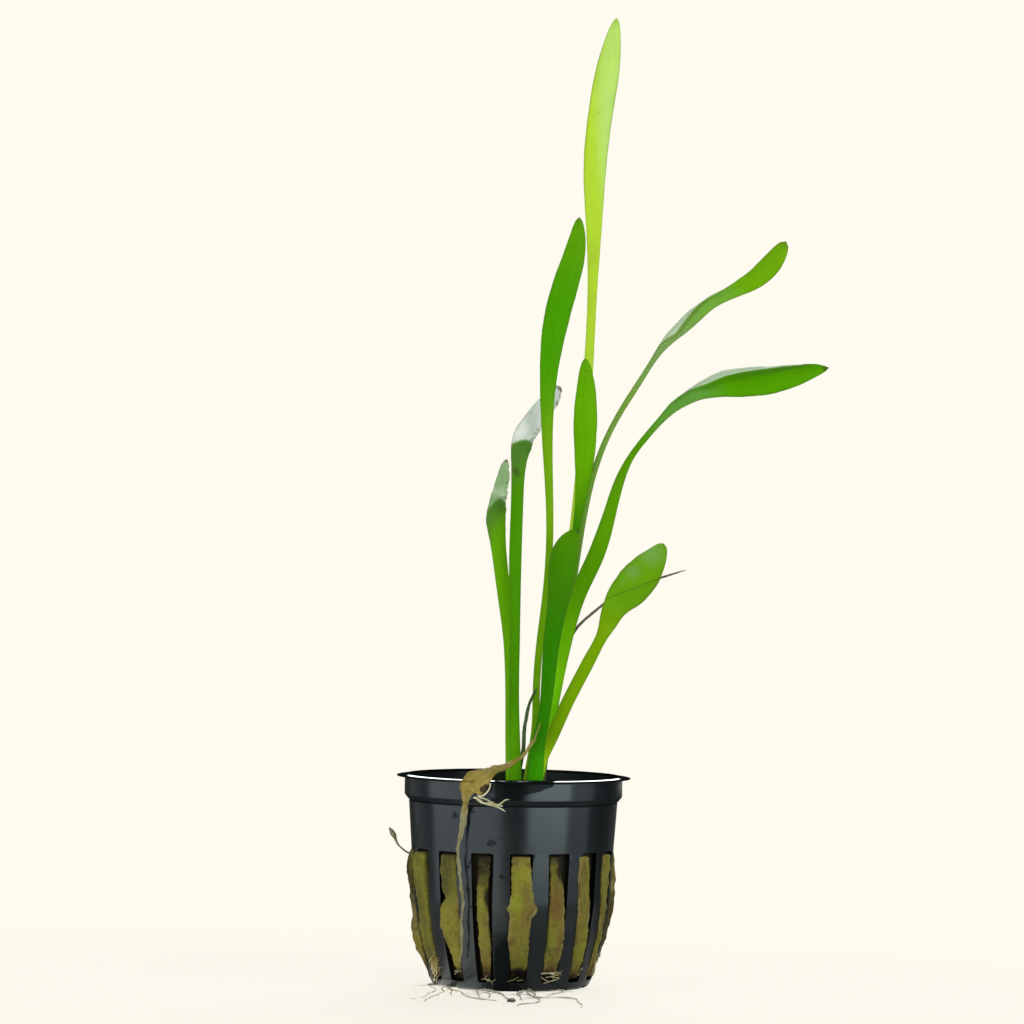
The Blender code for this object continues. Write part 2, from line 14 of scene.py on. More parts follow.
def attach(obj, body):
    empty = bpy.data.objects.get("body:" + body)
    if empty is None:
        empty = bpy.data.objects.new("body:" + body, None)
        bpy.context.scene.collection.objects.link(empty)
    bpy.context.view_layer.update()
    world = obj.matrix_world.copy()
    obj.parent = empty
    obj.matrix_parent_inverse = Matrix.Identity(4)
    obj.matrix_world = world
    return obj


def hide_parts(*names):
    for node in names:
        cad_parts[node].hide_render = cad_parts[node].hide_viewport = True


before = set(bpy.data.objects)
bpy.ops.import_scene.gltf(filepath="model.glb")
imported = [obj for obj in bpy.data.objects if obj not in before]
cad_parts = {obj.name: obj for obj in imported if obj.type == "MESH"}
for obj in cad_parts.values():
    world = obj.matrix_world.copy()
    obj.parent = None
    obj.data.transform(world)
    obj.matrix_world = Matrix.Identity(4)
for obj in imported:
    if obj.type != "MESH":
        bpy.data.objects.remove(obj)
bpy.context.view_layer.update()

bl_info = {
    "name": "Potted dwarf sagittaria",
    "version": (1, 0, 0),
    "blender": (4, 5, 0),
    "location": "View3D > Sidebar > Sagittaria",
    "description": "Builds an aquarium plant in its net pot, piece by piece",
    "category": "Add Mesh",
}

MM = 0.001
TO_MM = 1000.0


def screen(red, green, blue):
    """A colour read as 0 to 255 on the screen, as the linear values that Blender takes."""
    return tuple(v / 12.92 if v <= 0.04045 else ((v + 0.055) / 1.055) ** 2.4
                 for v in (c / 255 for c in (red, green, blue)))


# Net pot: wall line as radius and height, from the collar down to the foot, in mm
WALL_LINE = ((24.05, 42.7), (23.3, 31.8), (22.7, 19.8), (21.7, 13.0), (20.4, 7.6), (18.8, 2.0))
WALL = 0.8

# Slots in the wall, notches in the foot's ring and root openings: azimuth of the first and the turn
# from one to the next in degrees, heights, half widths and the rounding of a slot's corners in mm
SLOTS = 16
SLOT_TURN = 360 / SLOTS
FIRST_SLOT = -17.25
SLOT_BOTTOM, SLOT_TOP = 2.0, 31.8
SLOT_HALF_BOTTOM, SLOT_HALF_TOP = 1.9, 2.7
SLOT_CORNER = 0.55
NOTCHES = 12
NOTCH_TURN = 360 / NOTCHES
FIRST_NOTCH = -18.0
NOTCH_HALF = 1.5
OPENING_HALF = 1.3

# Columns of the pot's grid: across a slot and the rib beside it, across a notch and what follows,
# and all round
SLOT_CELLS, RIB_CELLS = 7, 5
NOTCH_CELLS, BETWEEN_CELLS = 5, 11
SLOT_SHARE, NOTCH_SHARE = SLOT_CELLS + RIB_CELLS, NOTCH_CELLS + BETWEEN_CELLS
POT_COLUMNS = SLOTS * SLOT_SHARE

# Radii in mm within which the columns of the wall and of the foot keep their azimuth, and the
# angle in degrees from which an edge is moulded round
LEAST_WALL_RADIUS, LEAST_FOOT_RADIUS = 16.0, 6.0
SHARP_ANGLE = 38

# Dried drops on the pot as x, z and radius, and the middle height of the groove under the collar
DROPS = ((-13.4, 40.2, 1.1), (-9.1, 41.1, 0.5), (-4.9, 34.1, 1.2), (-9.4, 29.8, 0.9),
         (-2.3, 26.6, 0.8), (-9.9, 28.6, 0.7), (-2.8, 35.2, 0.4), (-9.3, 19.5, 0.5))
GROOVE_HEIGHT = 42.65

# Where a look of the pot comes in or goes out, each as the two ends in mm that it is eased between:
# its front as y, the dark dull patch under the rim and its step, the dark dull place on a rib, the
# collar's slanted foot with its painted sheen, and the flange with its shiny lip
POT_FRONT = (0.0, -10.0)
DARK_PATCH_EDGE, DARK_PATCH_LEFT, DARK_PATCH_RIGHT = (44.6, 44.8), (-4.8, -3.8), (9.4, 8.9)
DARK_STEP_RIGHT, DARK_STEP_EDGE = (2.5, 1.9), (43.9, 44.1)
RIB_DARK_EDGE, RIB_DARK_LEFT, RIB_DARK_RIGHT = (14.6, 12.0), (-4.0, -3.4), (0.2, -0.3)
BEVEL_FOOT, BEVEL_TOP = (42.95, 43.05), (44.05, 43.85)
FLANGE_FOOT = (48.0, 48.1)
LIP_OUTSIDE, LIP_INSIDE, LIP_FRONT = (25.45, 25.30), (24.85, 24.95), (-5.0, -9.0)

# The wool's grid: rows up a slot, columns across a slot and behind the rib beside it; how far
# its plug stays inside the wall, and the heights between which its foot turns brown, in mm; and
# rings on its top
WOOL_ROWS = 160
WOOL_SLOT_COLUMNS, WOOL_RIB_COLUMNS = 20, 6
WOOL_SHARE = WOOL_SLOT_COLUMNS + WOOL_RIB_COLUMNS
WOOL_GAP = 1.1
WOOL_FOOT = (7.5, 3.5)
WOOL_TOP_RINGS = 20

# Wool at the slots that the photo shows, numbered from the first slot to the right. Rows: height,
# left and right edge as shares of the slot's half width, and how far it stands out, in mm
WOOL_EDGES = {
    13: ((2.5, -1.0, 0.6, -0.4), (6, -1.2, 0.6, 0.3), (8, -1.4, 1.0, 1.2), (10.5, -1.4, 1.1, 1.4),
         (14, -1.2, 0.7, 1.0), (16, -1.1, 0.2, 0.8), (21, -1.1, 0.3, 0.8), (24, -1.2, 1.1, 1.1),
         (28, -1.2, 1.1, 1.0), (31.5, -0.9, 1.1, 0.2)),
    14: ((2.5, -0.6, 1.0, -0.3), (5, -1.2, 1.1, 0.2), (7.5, -1.3, 1.0, 0.4), (11, -1.5, 0.85, 0.5),
         (14.5, -1.7, 0.85, 0.5), (18, -1.4, 0.85, 0.4), (20.5, -1.5, 0.75, 0.4), (22.5, -2.0, 0.65, 0.6),
         (26, -2.1, 0.5, 0.8), (30, -1.9, 0.4, 0.6), (31.5, -1.6, 0.3, 0.2)),
    15: ((2.5, 0.3, 0.7, -1.5), (4.5, 0.1, 0.8, -0.4), (5.6, -0.1, 0.95, 0.2), (8, -0.25, 1.1, 0.4),
         (10.3, -0.6, 1.25, 0.5), (12.5, -1.0, 1.4, 0.6), (15, -1.35, 1.5, 0.6), (18.5, -1.0, 1.4, 0.5),
         (19.8, -0.8, 1.4, 0.4), (21.3, -0.2, 1.3, 0.4), (23.5, -0.8, 1.2, 0.3), (27, -0.95, 1.1, 0.3),
         (31.5, -0.85, 0.9, 0.1)),
    0: ((2.5, -0.3, 0.6, -0.8), (5, -0.35, 0.75, -0.2), (7, -0.4, 0.8, 0.2), (11, -0.55, 0.9, 0.3),
        (14, -0.5, 0.75, 0.3), (18, -0.6, 0.65, 0.2), (24, -0.55, 0.6, 0.0), (27, -0.5, 0.75, -0.4),
        (31.5, -0.5, 0.8, -0.7)),
    1: ((2.5, -0.9, 0.9, -1.8), (4.5, -1.0, 1.0, -0.4), (6, -1.05, 1.1, 0.2), (9.5, -1.2, 1.15, 0.4),
        (12, -1.4, 1.15, 0.5), (14, -1.25, 1.15, 0.5), (17, -1.2, 1.25, 0.6), (18.4, -1.2, 1.7, 0.8),
        (19.4, -1.45, 1.85, 0.9), (20.4, -1.2, 1.5, 0.8), (23, -1.0, 1.2, 0.5), (27, -1.0, 1.05, 0.4),
        (31.5, -0.9, 0.85, 0.1)),
    2: ((2.5, -0.8, 0.6, -1.6), (4.5, -0.95, 0.9, -0.3), (7, -1.05, 1.15, 0.3), (10, -1.05, 1.2, 0.5),
        (14, -1.0, 1.1, 0.4), (18, -1.0, 0.9, 0.3), (21, -0.95, 0.75, 0.3), (24, -0.85, 0.6, 0.2),
        (26, -0.9, 0.5, 0.1), (31.5, -0.95, 0.5, -0.3)),
    3: ((2.5, -0.9, 1.0, -0.4), (5, -1.05, 0.8, 0.2), (8, -1.25, 0.6, 0.4), (12, -1.4, 0.5, 0.5),
        (16, -1.4, 0.35, 0.5), (20, -1.45, 0.2, 0.5), (24, -1.55, 0.05, 0.5), (28, -1.5, -0.1, 0.4),
        (31.5, -1.4, -0.2, 0.1)),
    4: ((2.5, -1.2, 0.6, -0.2), (6, -1.4, 0.2, 0.3), (10, -1.2, 0.0, 0.4), (14, -1.2, -0.2, 0.5),
        (18, -1.4, -0.3, 0.5), (22, -1.6, -0.3, 0.5), (27, -1.7, 0.2, 0.5), (31.5, -1.6, 0.3, 0.2)),
    5: ((2.5, -0.5, 1.0, 0.0), (6, -0.8, 1.0, 0.2), (10, -1.1, 1.1, 0.5), (15, -1.1, 1.2, 0.8),
        (20, -1.2, 1.2, 1.0), (25, -1.1, 1.2, 1.0), (28, -1.0, 1.0, 0.4), (31.5, -0.9, 0.9, 0.1)),
}
# Dents, and lighter or darker places in the wool, the darker ones partly its own colour and partly
# painted shade where it is sunk and where it lies in shade: azimuth, height, width in degrees, height
# in mm, and how deep or how light
WOOL_DENTS = (
    (5.0, 3.4, 4.0, 1.3, -2.2), (-14.0, 21.0, 2.0, 2.5, -0.8),
    (30.0, 29.0, 2.5, 3.0, -1.0), (-60.0, 29.0, 3.0, 1.2, -0.7), (7.5, 22.5, 1.2, 2.2, -0.7))
WOOL_TONES_AND_SHADE = (
    (-17.0, 29.5, 7.0, 4.5, -0.6), (-12.5, 22.0, 2.0, 4.0, -0.3), (3.0, 20.0, 5.0, 5.0, 0.9),
    (8.0, 28.0, 4.0, 3.0, 0.4), (-63.0, 25.0, 6.0, 7.0, -0.45), (-42.0, 27.0, 8.0, 7.0, -0.75),
    (-63.0, 12.0, 8.0, 7.0, -0.6), (-18.0, 16.0, 3.0, 6.0, 0.5), (27.0, 30.0, 6.0, 2.0, -0.5),
    (54.0, 26.0, 3.0, 8.0, -0.3), (72.0, 18.0, 6.0, 9.0, -0.5), (-38.0, 12.0, 4.0, 5.0, 0.1),
    (50.0, 12.0, 4.0, 5.0, 0.5), (-88.0, 24.0, 12.0, 9.0, -1.6), (-80.0, 10.0, 8.0, 3.0, 0.3),
    (-66.0, 28.0, 4.0, 3.0, 0.2), (95.0, 16.0, 10.0, 14.0, -1.1))
# Rust-brown places in the wool, in the same way
WOOL_RUSTS = (
    (-64.0, 20.0, 10.0, 14.0, -1.0), (27.0, 20.0, 5.0, 6.0, 0.7), (30.5, 10.0, 2.0, 4.0, 0.8),
    (51.5, 22.0, 1.6, 4.0, 0.9),
    (72.0, 20.0, 3.0, 5.0, 0.8), (-17.0, 4.5, 5.0, 2.0, 1.0), (-43.0, 12.0, 3.0, 4.0, 0.5),
    (5.0, 7.5, 6.0, 3.5, 0.5), (-36.0, 26.0, 2.0, 4.0, 0.4), (27.0, 4.0, 5.0, 2.0, 0.8))
# Nests of fine pale roots: azimuth, height, how many, half width, half height and length in mm,
# and the way they lie, in degrees from level
WOOL_ROOTLETS = (
    (-60.0, 4.6, 18, 1.0, 2.4, 4.2, 70.0), (30.0, 3.5, 11, 1.4, 1.3, 4.2, 6.0),
    (-15.0, 2.8, 5, 1.1, 0.5, 1.8, 0.0), (52.0, 4.4, 3, 1.0, 0.8, 1.6, 20.0),
    (74.0, 5.0, 9, 0.8, 2.4, 3.4, 80.0), (5.0, 3.0, 2, 1.0, 0.2, 2.4, 0.0),
    (-37.0, 3.8, 3, 0.6, 0.8, 1.2, 60.0))

# Crowns: middle x, y and radius; their middle height and half height; the skin's share of the
# solid's radius; and the heights between which cream turns to green
CROWNS = {"crown_left": (-0.1, -2.5, 2.3), "crown_right": (5.3, -4.5, 2.7), "crown_back": (4.9, 4.7, 3.4)}
CROWN_MIDDLE, CROWN_HALF = 42.4, 3.9
CROWN_FIT = 0.98
CROWN_GREENING = (42.0, 46.5)

# Leaf rows: x, y, z, width, turn away from the front, curl of the edges
TALL = (
    (5.2, 7.0, 46.9, 2.1, 0, 20), (9.5, 9.0, 77.2, 2.2, 0, 20), (13.0, 11.0, 105.1, 2.2, 0, 20),
    (15.8, 12.0, 144.8, 2.2, 0, 20), (16.3, 12.0, 160.8, 2.3, 0, 20), (16.4, 11.0, 174.7, 3.7, 0, 25),
    (16.4, 11.0, 189.7, 5.5, 0, 25), (17.4, 10.0, 201.3, 5.8, 0, 20), (19.0, 9.0, 212.2, 5.8, 0, 15),
    (20.8, 9.0, 223.8, 4.8, 0, 10))
LEFT_HIGH = (
    (3.0, 3.0, 46.9, 1.7, 10, 20), (3.9, 3.0, 52.6, 1.7, 10, 20), (4.7, 2.5, 58.9, 1.7, 10, 20),
    (4.9, 1.5, 68.2, 1.7, 10, 20), (5.6, 0.0, 79.8, 1.7, 10, 20), (6.6, -1.3, 89.1, 1.7, 10, 20),
    (7.3, -3.0, 107.3, 1.7, 10, 20), (6.4, -3.0, 126.0, 2.5, 5, 20), (6.5, -2.5, 142.1, 4.3, 0, 20),
    (8.2, -1.0, 154.7, 6.1, 0, 25), (10.3, 0.0, 162.9, 6.1, 0, 20), (12.1, 1.0, 169.8, 5.9, 0, 15),
    (12.9, 2.0, 177.4, 5.3, 0, 10))
MIDDLE = (
    (5.3, 3.0, 46.9, 1.6, 0, 20), (7.5, 3.0, 57.8, 1.8, 0, 20), (10.4, 4.0, 77.4, 1.8, 0, 20),
    (13.0, 4.0, 101.8, 1.8, 0, 20), (14.1, 3.0, 110.6, 2.3, 0, 20), (15.0, 2.2, 120.3, 4.4, 0, 25),
    (15.1, 1.0, 131.1, 5.7, 0, 25), (15.1, 1.0, 138.8, 5.5, 0, 20), (14.8, 1.0, 144.9, 5.3, 0, 10))
RIGHT_HIGH = (
    (5.5, 6.0, 46.9, 1.6, 0, 20), (8.2, 6.0, 57.6, 1.6, 0, 20), (10.9, 7.0, 77.3, 1.6, 0, 20),
    (13.4, 7.0, 95.9, 1.5, 0, 20), (15.4, 6.0, 109.8, 1.5, 0, 20), (18.0, 5.0, 120.8, 1.4, 0, 20),
    (22.3, 5.0, 131.0, 1.3, 0, 20), (27.6, 4.0, 139.9, 1.3, 0, 20), (31.7, 3.0, 146.6, 1.7, -20, 30),
    (34.3, 2.0, 150.2, 3.2, -30, 45), (37.9, 1.0, 153.9, 4.4, -30, 50), (42.4, 0.0, 157.8, 3.9, -30, 45),
    (46.2, -1.0, 159.8, 3.1, -15, 30), (50.8, -1.0, 162.2, 4.0, -10, 25), (55.6, -3.0, 165.7, 5.0, -10, 20),
    (58.8, -4.5, 169.8, 4.6, -10, 15), (60.4, -5.0, 172.5, 4.4, -10, 15))
RIGHT_LOW = (
    (5.1, -1.0, 46.9, 3.1, 0, 20), (7.3, -2.0, 58.0, 3.2, 0, 20), (9.5, -2.0, 70.7, 3.2, 0, 20),
    (11.4, -3.0, 80.7, 3.5, 0, 20), (14.5, -3.0, 91.6, 3.8, 0, 20), (17.6, -3.6, 98.6, 3.9, 0, 20),
    (19.2, -4.0, 103.0, 3.7, 0, 20), (21.3, -5.0, 110.6, 2.9, -10, 25), (23.2, -6.0, 117.3, 2.4, -25, 30),
    (25.5, -6.0, 122.2, 1.6, -25, 30), (29.0, -7.0, 127.1, 1.5, -20, 30),
    (33.3, -7.0, 132.2, 2.0, -20, 30), (36.2, -8.0, 135.1, 3.2, -30, 40),
    (39.3, -8.0, 137.2, 4.3, -30, 50), (42.2, -8.5, 138.8, 5.8, -30, 50),
    (45.7, -9.0, 140.1, 7.6, -30, 50), (50.7, -9.0, 140.9, 8.8, -30, 50),
    (56.6, -10.0, 141.4, 8.5, -30, 50), (63.9, -10.0, 142.5, 7.1, -25, 40),
    (70.5, -10.0, 143.7, 5.3, -10, 20))
FRONT = (
    (4.9, -8.0, 46.9, 3.8, 0, 20), (5.2, -8.1, 53.2, 3.5, 0, 20), (5.9, -8.3, 58.3, 3.0, 0, 20),
    (6.9, -8.5, 64.1, 2.8, 0, 20), (7.5, -8.7, 71.0, 3.2, 0, 20), (8.1, -9.0, 79.0, 3.8, 0, 22),
    (9.5, -10.0, 89.4, 5.2, 0, 25), (10.2, -10.0, 94.7, 6.4, 0, 25), (10.7, -10.0, 99.3, 6.6, 0, 20),
    (11.8, -10.0, 102.7, 6.2, 0, 15), (13.7, -10.0, 105.6, 5.5, 0, 10))
LOWER_RIGHT = (
    (5.1, -4.0, 46.9, 2.6, 0, 20), (6.3, -4.2, 52.4, 2.8, 0, 20), (8.3, -4.5, 57.0, 2.9, 0, 20),
    (10.3, -5.0, 61.7, 2.9, 0, 20), (12.2, -5.5, 66.1, 2.9, 0, 20), (14.6, -6.0, 71.0, 2.9, 0, 20),
    (17.4, -7.0, 76.6, 2.8, 0, 20), (19.8, -8.0, 81.5, 2.9, 0, 12), (21.1, -8.0, 84.5, 4.3, 5, 0),
    (22.1, -9.0, 87.1, 5.5, 8, -15), (23.5, -9.0, 89.5, 7.1, 10, -20), (25.6, -10.0, 92.0, 8.6, 10, -20),
    (27.6, -10.0, 94.5, 8.9, 10, -20), (29.7, -11.0, 97.1, 8.1, 10, -15), (31.6, -11.0, 99.6, 6.7, 5, -10),
    (33.4, -11.0, 102.8, 5.8, 0, -5))
LEFT_FOLD = (
    (0.5, -4.0, 46.9, 2.9, 0, 20), (0.1, -4.5, 57.6, 2.4, 0, 20), (-0.2, -4.7, 66.1, 2.3, 0, 20),
    (-0.3, -5.0, 79.9, 2.4, 0, 20), (-0.4, -5.0, 89.1, 2.6, 0, 20), (-0.5, -5.0, 98.0, 2.9, 0, 20),
    (-0.3, -5.0, 112.1, 2.9, 0, 20), (-0.2, -5.0, 118.0, 3.2, 0, 20), (0.1, -5.0, 122.2, 4.1, 5, 20),
    (0.9, -3.5, 125.6, 5.5, 20, 25), (2.5, 0.0, 128.7, 5.6, 25, 20), (4.6, 5.0, 131.9, 5.1, 25, 20),
    (7.1, 12.0, 135.1, 4.5, 20, 15), (9.2, 19.0, 138.4, 3.9, 10, 10))
LEFT_LOW = (
    (-0.4, -1.0, 46.9, 2.8, 0, 20), (-0.7, -1.0, 57.4, 2.8, 0, 20), (-0.9, -1.0, 68.2, 2.8, 0, 20),
    (-1.2, -1.0, 75.1, 2.8, 0, 20), (-1.7, -1.0, 80.9, 2.8, 0, 20), (-2.6, -1.0, 88.0, 3.1, 0, 20),
    (-3.8, -1.0, 96.5, 3.3, 0, 20), (-4.7, -1.0, 103.2, 3.9, 0, 20), (-5.1, -1.0, 107.4, 4.6, 0, 20),
    (-4.8, 0.0, 110.5, 4.3, 10, 20), (-4.2, 6.0, 113.9, 3.6, 10, 15), (-3.5, 12.0, 117.5, 3.0, 10, 10),
    (-3.0, 18.0, 121.1, 2.8, 10, 10))
DEAD = (
    (5.1, -9.9, 58.7, 0.4, 0, 20), (4.5, -10.0, 57.2, 0.7, 0, 20), (3.7, -10.1, 56.0, 0.8, 0, 20),
    (2.9, -10.4, 54.9, 0.8, 0, 20), (1.8, -11.0, 53.4, 0.8, 0, 20), (0.5, -12.5, 52.5, 1.2, 0, 20),
    (-1.4, -15.2, 51.5, 1.5, 10, 20), (-3.2, -18.6, 51.0, 1.7, 10, 20), (-4.7, -23.0, 50.8, 2.3, 15, 25),
    (-6.6, -27.9, 49.9, 4.1, 20, 30), (-8.8, -28.5, 48.5, 6.5, 20, 35), (-10.5, -28.2, 46.9, 4.6, 15, 30),
    (-10.8, -27.2, 44.7, 2.0, 10, 20), (-11.1, -23.2, 41.7, 1.5, 0, 20), (-11.4, -22.5, 38.2, 1.4, 0, 20),
    (-11.9, -22.3, 35.4, 1.1, 0, 20), (-12.4, -22.0, 32.9, 0.8, 0, 20), (-12.2, -22.0, 29.7, 0.8, 0, 20),
    (-11.8, -21.8, 26.5, 0.7, 0, 20), (-11.4, -21.8, 22.9, 0.7, 0, 20), (-11.0, -21.7, 19.7, 0.6, 0, 20),
    (-11.3, -21.1, 16.0, 0.6, 0, 20), (-11.2, -20.5, 12.3, 0.6, 0, 20), (-11.4, -19.6, 9.2, 0.5, 0, 20),
    (-11.6, -18.6, 6.6, 0.5, 0, 20))

# Shape of each leaf: rows, where the tip starts, bluntness, stem and blade thickness, where
# the stem ends and the full blade begins, ripple of the edges in mm
LEAF_SHAPES = {
    "leaf_tall": (TALL, 0.90, 0.52, 1.1, 0.45, 0.64, 0.78, 0.05),
    "leaf_left_high": (LEFT_HIGH, 0.86, 0.50, 1.0, 0.45, 0.60, 0.75, 0.06),
    "leaf_middle": (MIDDLE, 0.83, 0.52, 1.0, 0.45, 0.62, 0.78, 0.05),
    "leaf_right_high": (RIGHT_HIGH, 0.95, 0.45, 0.9, 0.45, 0.72, 0.80, 0.06),
    "leaf_right_low": (RIGHT_LOW, 0.88, 0.62, 1.1, 0.45, 0.62, 0.76, 0.08),
    "leaf_front": (FRONT, 0.86, 0.55, 1.1, 0.55, 0.55, 0.80, 0.05),
    "leaf_lower_right": (LOWER_RIGHT, 0.86, 0.48, 1.2, 0.45, 0.55, 0.75, 0.08),
    "leaf_left_fold": (LEFT_FOLD, 0.92, 0.45, 1.1, 0.45, 0.60, 0.75, 0.10),
    "leaf_left_low": (LEFT_LOW, 0.88, 0.50, 1.1, 0.45, 0.60, 0.75, 0.16),
}
DEAD_SHAPE = (DEAD, 0.97, 0.5, 0.6, 0.30, 0.20, 0.40, 0.12)
DEAD_CRUMPLE = 0.34

# Looks of each leaf. Colours as read on screen: blade and stem, and the light that comes through
# each. through: the share of that light in blade and stem. change: where along the leaf the stem's
# colour gives way to the blade's, and lean: how that line slopes. tip: how pale the tip is. foot: how
# far up the leaf its shaded foot reaches, base: the share of the light through it that is lost there,
# and lift: how much lighter its colour is painted there, a painted light against that shade. The sheen
# strip: where a pale strip of painted sheen, with a painted highlight line, on the upper edge begins,
# is widest and ends, its width, and where the greyer painted sheen beside it ends. under: the blade
# shows its underside, with painted shade below its bend and streaks of painted sheen. The needle
# leaf's painted shadow: a dark line as x, z, slope and half width. Spots and painted highlights: dark
# places and pale places of painted sheen as x, y, z and radius. All sizes in mm
LEAF_LOOKS = {
    "leaf_tall": dict(
        blade=(196, 228, 140), stem=(170, 206, 66), blade_glow=(218, 238, 164), stem_glow=(222, 240, 122),
        through=(0.79, 0.78), change=(0.78, 0.92), lean=0.10, tip=0.2,
        spots=((16.9, 10.0, 201.9, 0.5), (15.6, 12.0, 145.6, 0.5))),
    "leaf_left_high": dict(
        blade=(84, 168, 4), stem=(146, 190, 26), blade_glow=(144, 206, 24), stem_glow=(152, 206, 32),
        through=(0.72, 0.62), change=(0.58, 0.74), tip=0.7, base=0.45,
        spots=((10.8, -0.6, 156.0, 0.4),)),
    "leaf_middle": dict(
        blade=(108, 178, 8), stem=(78, 164, 4), blade_glow=(172, 218, 28), stem_glow=(90, 178, 12),
        through=(0.72, 0.56), change=(0.55, 0.70), tip=0.1, spots=((15.0, 0.6, 142.0, 0.4),)),
    "leaf_right_high": dict(
        blade=(114, 178, 6), stem=(142, 180, 82), blade_glow=(182, 222, 24), stem_glow=(160, 200, 78),
        through=(0.66, 0.46), change=(0.76, 0.84), tip=0.6, sheen_strip=(0.712, 0.765, 0.872, 0.62, 0.91)),
    "leaf_right_low": dict(
        blade=(86, 164, 4), stem=(104, 170, 8), blade_glow=(156, 208, 24), stem_glow=(154, 200, 34),
        # lift: painted light on this leaf's shaded foot
        through=(0.70, 0.58), change=(0.60, 0.76), tip=0.1, base=0.6, foot=0.42, lift=2.4,
        sheen_strip=(0.715, 0.79, 0.99, 0.46, 0.83), spots=((70.2, -10.0, 143.6, 1.5),)),
    "leaf_front": dict(
        blade=(72, 142, 4), stem=(56, 146, 2), blade_glow=(142, 196, 26), stem_glow=(112, 180, 14),
        through=(0.65, 0.52), change=(0.55, 0.80), tip=0.3,
        spots=((13.9, -10.0, 105.4, 1.0),)),
    "leaf_lower_right": dict(
        blade=(112, 166, 26), stem=(146, 188, 12), blade_glow=(168, 208, 60), stem_glow=(154, 194, 34),
        # needle shadow: a painted shadow line where the needle leaf behind the blade shades it
        through=(0.68, 0.58), change=(0.62, 0.75), tip=0.1, base=0.6, lift=2.2, needle_shadow=(23.7, 91.2, 0.40, 0.22),
        spots=((35.2, -11.0, 100.6, 1.3), (34.9, -11.0, 101.8, 1.1)),
        # painted highlights: pale places of painted sheen on the blade's upper left
        painted_glints=((30.5, -11.0, 100.5, 4.5), (26.5, -10.5, 96.5, 3.0), (23.9, -10.0, 94.0, 1.6))),
    "leaf_left_fold": dict(
        # painted sheen: this blade's whitish colour stands for the sheen of its upturned side
        blade=(246, 250, 244), stem=(90, 160, 6), blade_glow=(254, 255, 252), stem_glow=(128, 192, 20),
        through=(0.86, 0.60), change=(0.740, 0.750), lean=-0.0185, tip=0.0, under=True,
        spots=((-0.9, -5.6, 118.9, 1.1), (-0.4, -5.6, 118.1, 1.0), (9.0, 18.5, 137.9, 1.9),
               (8.5, 18.3, 138.1, 1.7))),
    "leaf_left_low": dict(
        # painted sheen: this blade's pale colour stands for the sheen of its upturned side
        blade=(172, 206, 146), stem=(116, 182, 14), blade_glow=(206, 232, 178), stem_glow=(160, 210, 34),
        through=(0.48, 0.60), change=(0.772, 0.790), lean=-0.048, tip=0.0, under=True,
        spots=((-3.0, 17.8, 120.9, 1.8), (-2.9, 17.6, 120.5, 1.4))),
}

# Light through the pale strip of painted sheen and through the dead leaf, as colours on screen; where
# the dead leaf's sheet begins above the rim, its top with a painted highlight and its sides, each as the
# two ends in mm that a look is eased between, and where along the leaf its strand starts; its holes as
# x, z and radius; and its creases, which get painted shade, as x, z, slope, half width and left and right end
SHEEN_STRIP_GLOW = (240, 248, 234)
DEAD_GLOW = (200, 182, 66)
SHEET_FOOT, SHEET_TOP = (44.0, 45.5), (49.4, 50.6)
SHEET_RIGHT, SHEET_LEFT = (-4.5, -6.0), (-11.3, -12.2)
STRAND_START = (0.47, 0.56)
DEAD_HOLES = ((-6.9, 46.7, 0.9), (-6.3, 47.4, 0.7))
DEAD_CREASES = ((-10.5, 48.5, 0.06, 0.32, -12.2, -8.6), (-9.2, 47.6, -1.6, 0.22, -10.0, -8.4))

# Thin round pieces: diameters at start and end, then points, in mm; and the sprig's stem and how
# far its bud swells, as radii, with the bud's place and length as shares of the sprig
NEEDLE = (0.7, 0.5, ((7.0, 1.4, 46.9), (7.8, 0.0, 55.6), (9.4, -1.0, 68.4), (11.5, -1.5, 78.1),
                     (13.8, -2.0, 82.6), (18.1, -2.0, 86.8), (23.7, -3.0, 91.1), (31.0, -4.0, 94.1),
                     (38.8, -5.0, 96.7)))
SHOOT = (1.1, 0.6, ((1.1, 1.2, 46.9), (1.5, 0.8, 51.1), (2.1, 0.3, 54.3), (2.2, 0.0, 56.9),
                    (2.3, 0.0, 59.4), (2.7, 0.0, 62.0), (3.2, -0.4, 64.6), (4.0, -0.8, 66.7),
                    (5.0, -1.4, 68.8)))
SPRIG = (0.5, 0.8, ((-22.0, -2.3, 30.2), (-24.6, -2.5, 30.7), (-25.2, -2.6, 31.2), (-25.9, -2.8, 31.8),
                    (-26.6, -3.0, 32.7), (-27.1, -3.0, 33.9), (-28.5, -3.0, 36.2)))
SPRIG_RADIUS, BUD_SWELL = 0.17, 0.42
BUD_PLACE, BUD_LENGTH = 0.83, 0.15
RIM_ROOT_RADIUS = 0.17
RIM_ROOTS = {
    "rim_root_1": ((-9.1, -27.0, 44.8), (-8.0, -26.9, 44.4), (-6.7, -26.5, 43.5), (-4.8, -26.3, 43.0),
                   (-3.0, -26.1, 42.4), (-1.7, -25.9, 41.6)),
    "rim_root_2": ((-5.3, -29.0, 48.2), (-5.4, -29.2, 47.2), (-5.9, -29.3, 46.3), (-6.7, -29.4, 45.5),
                   (-7.7, -29.3, 45.3), (-8.3, -29.2, 45.5)),
}
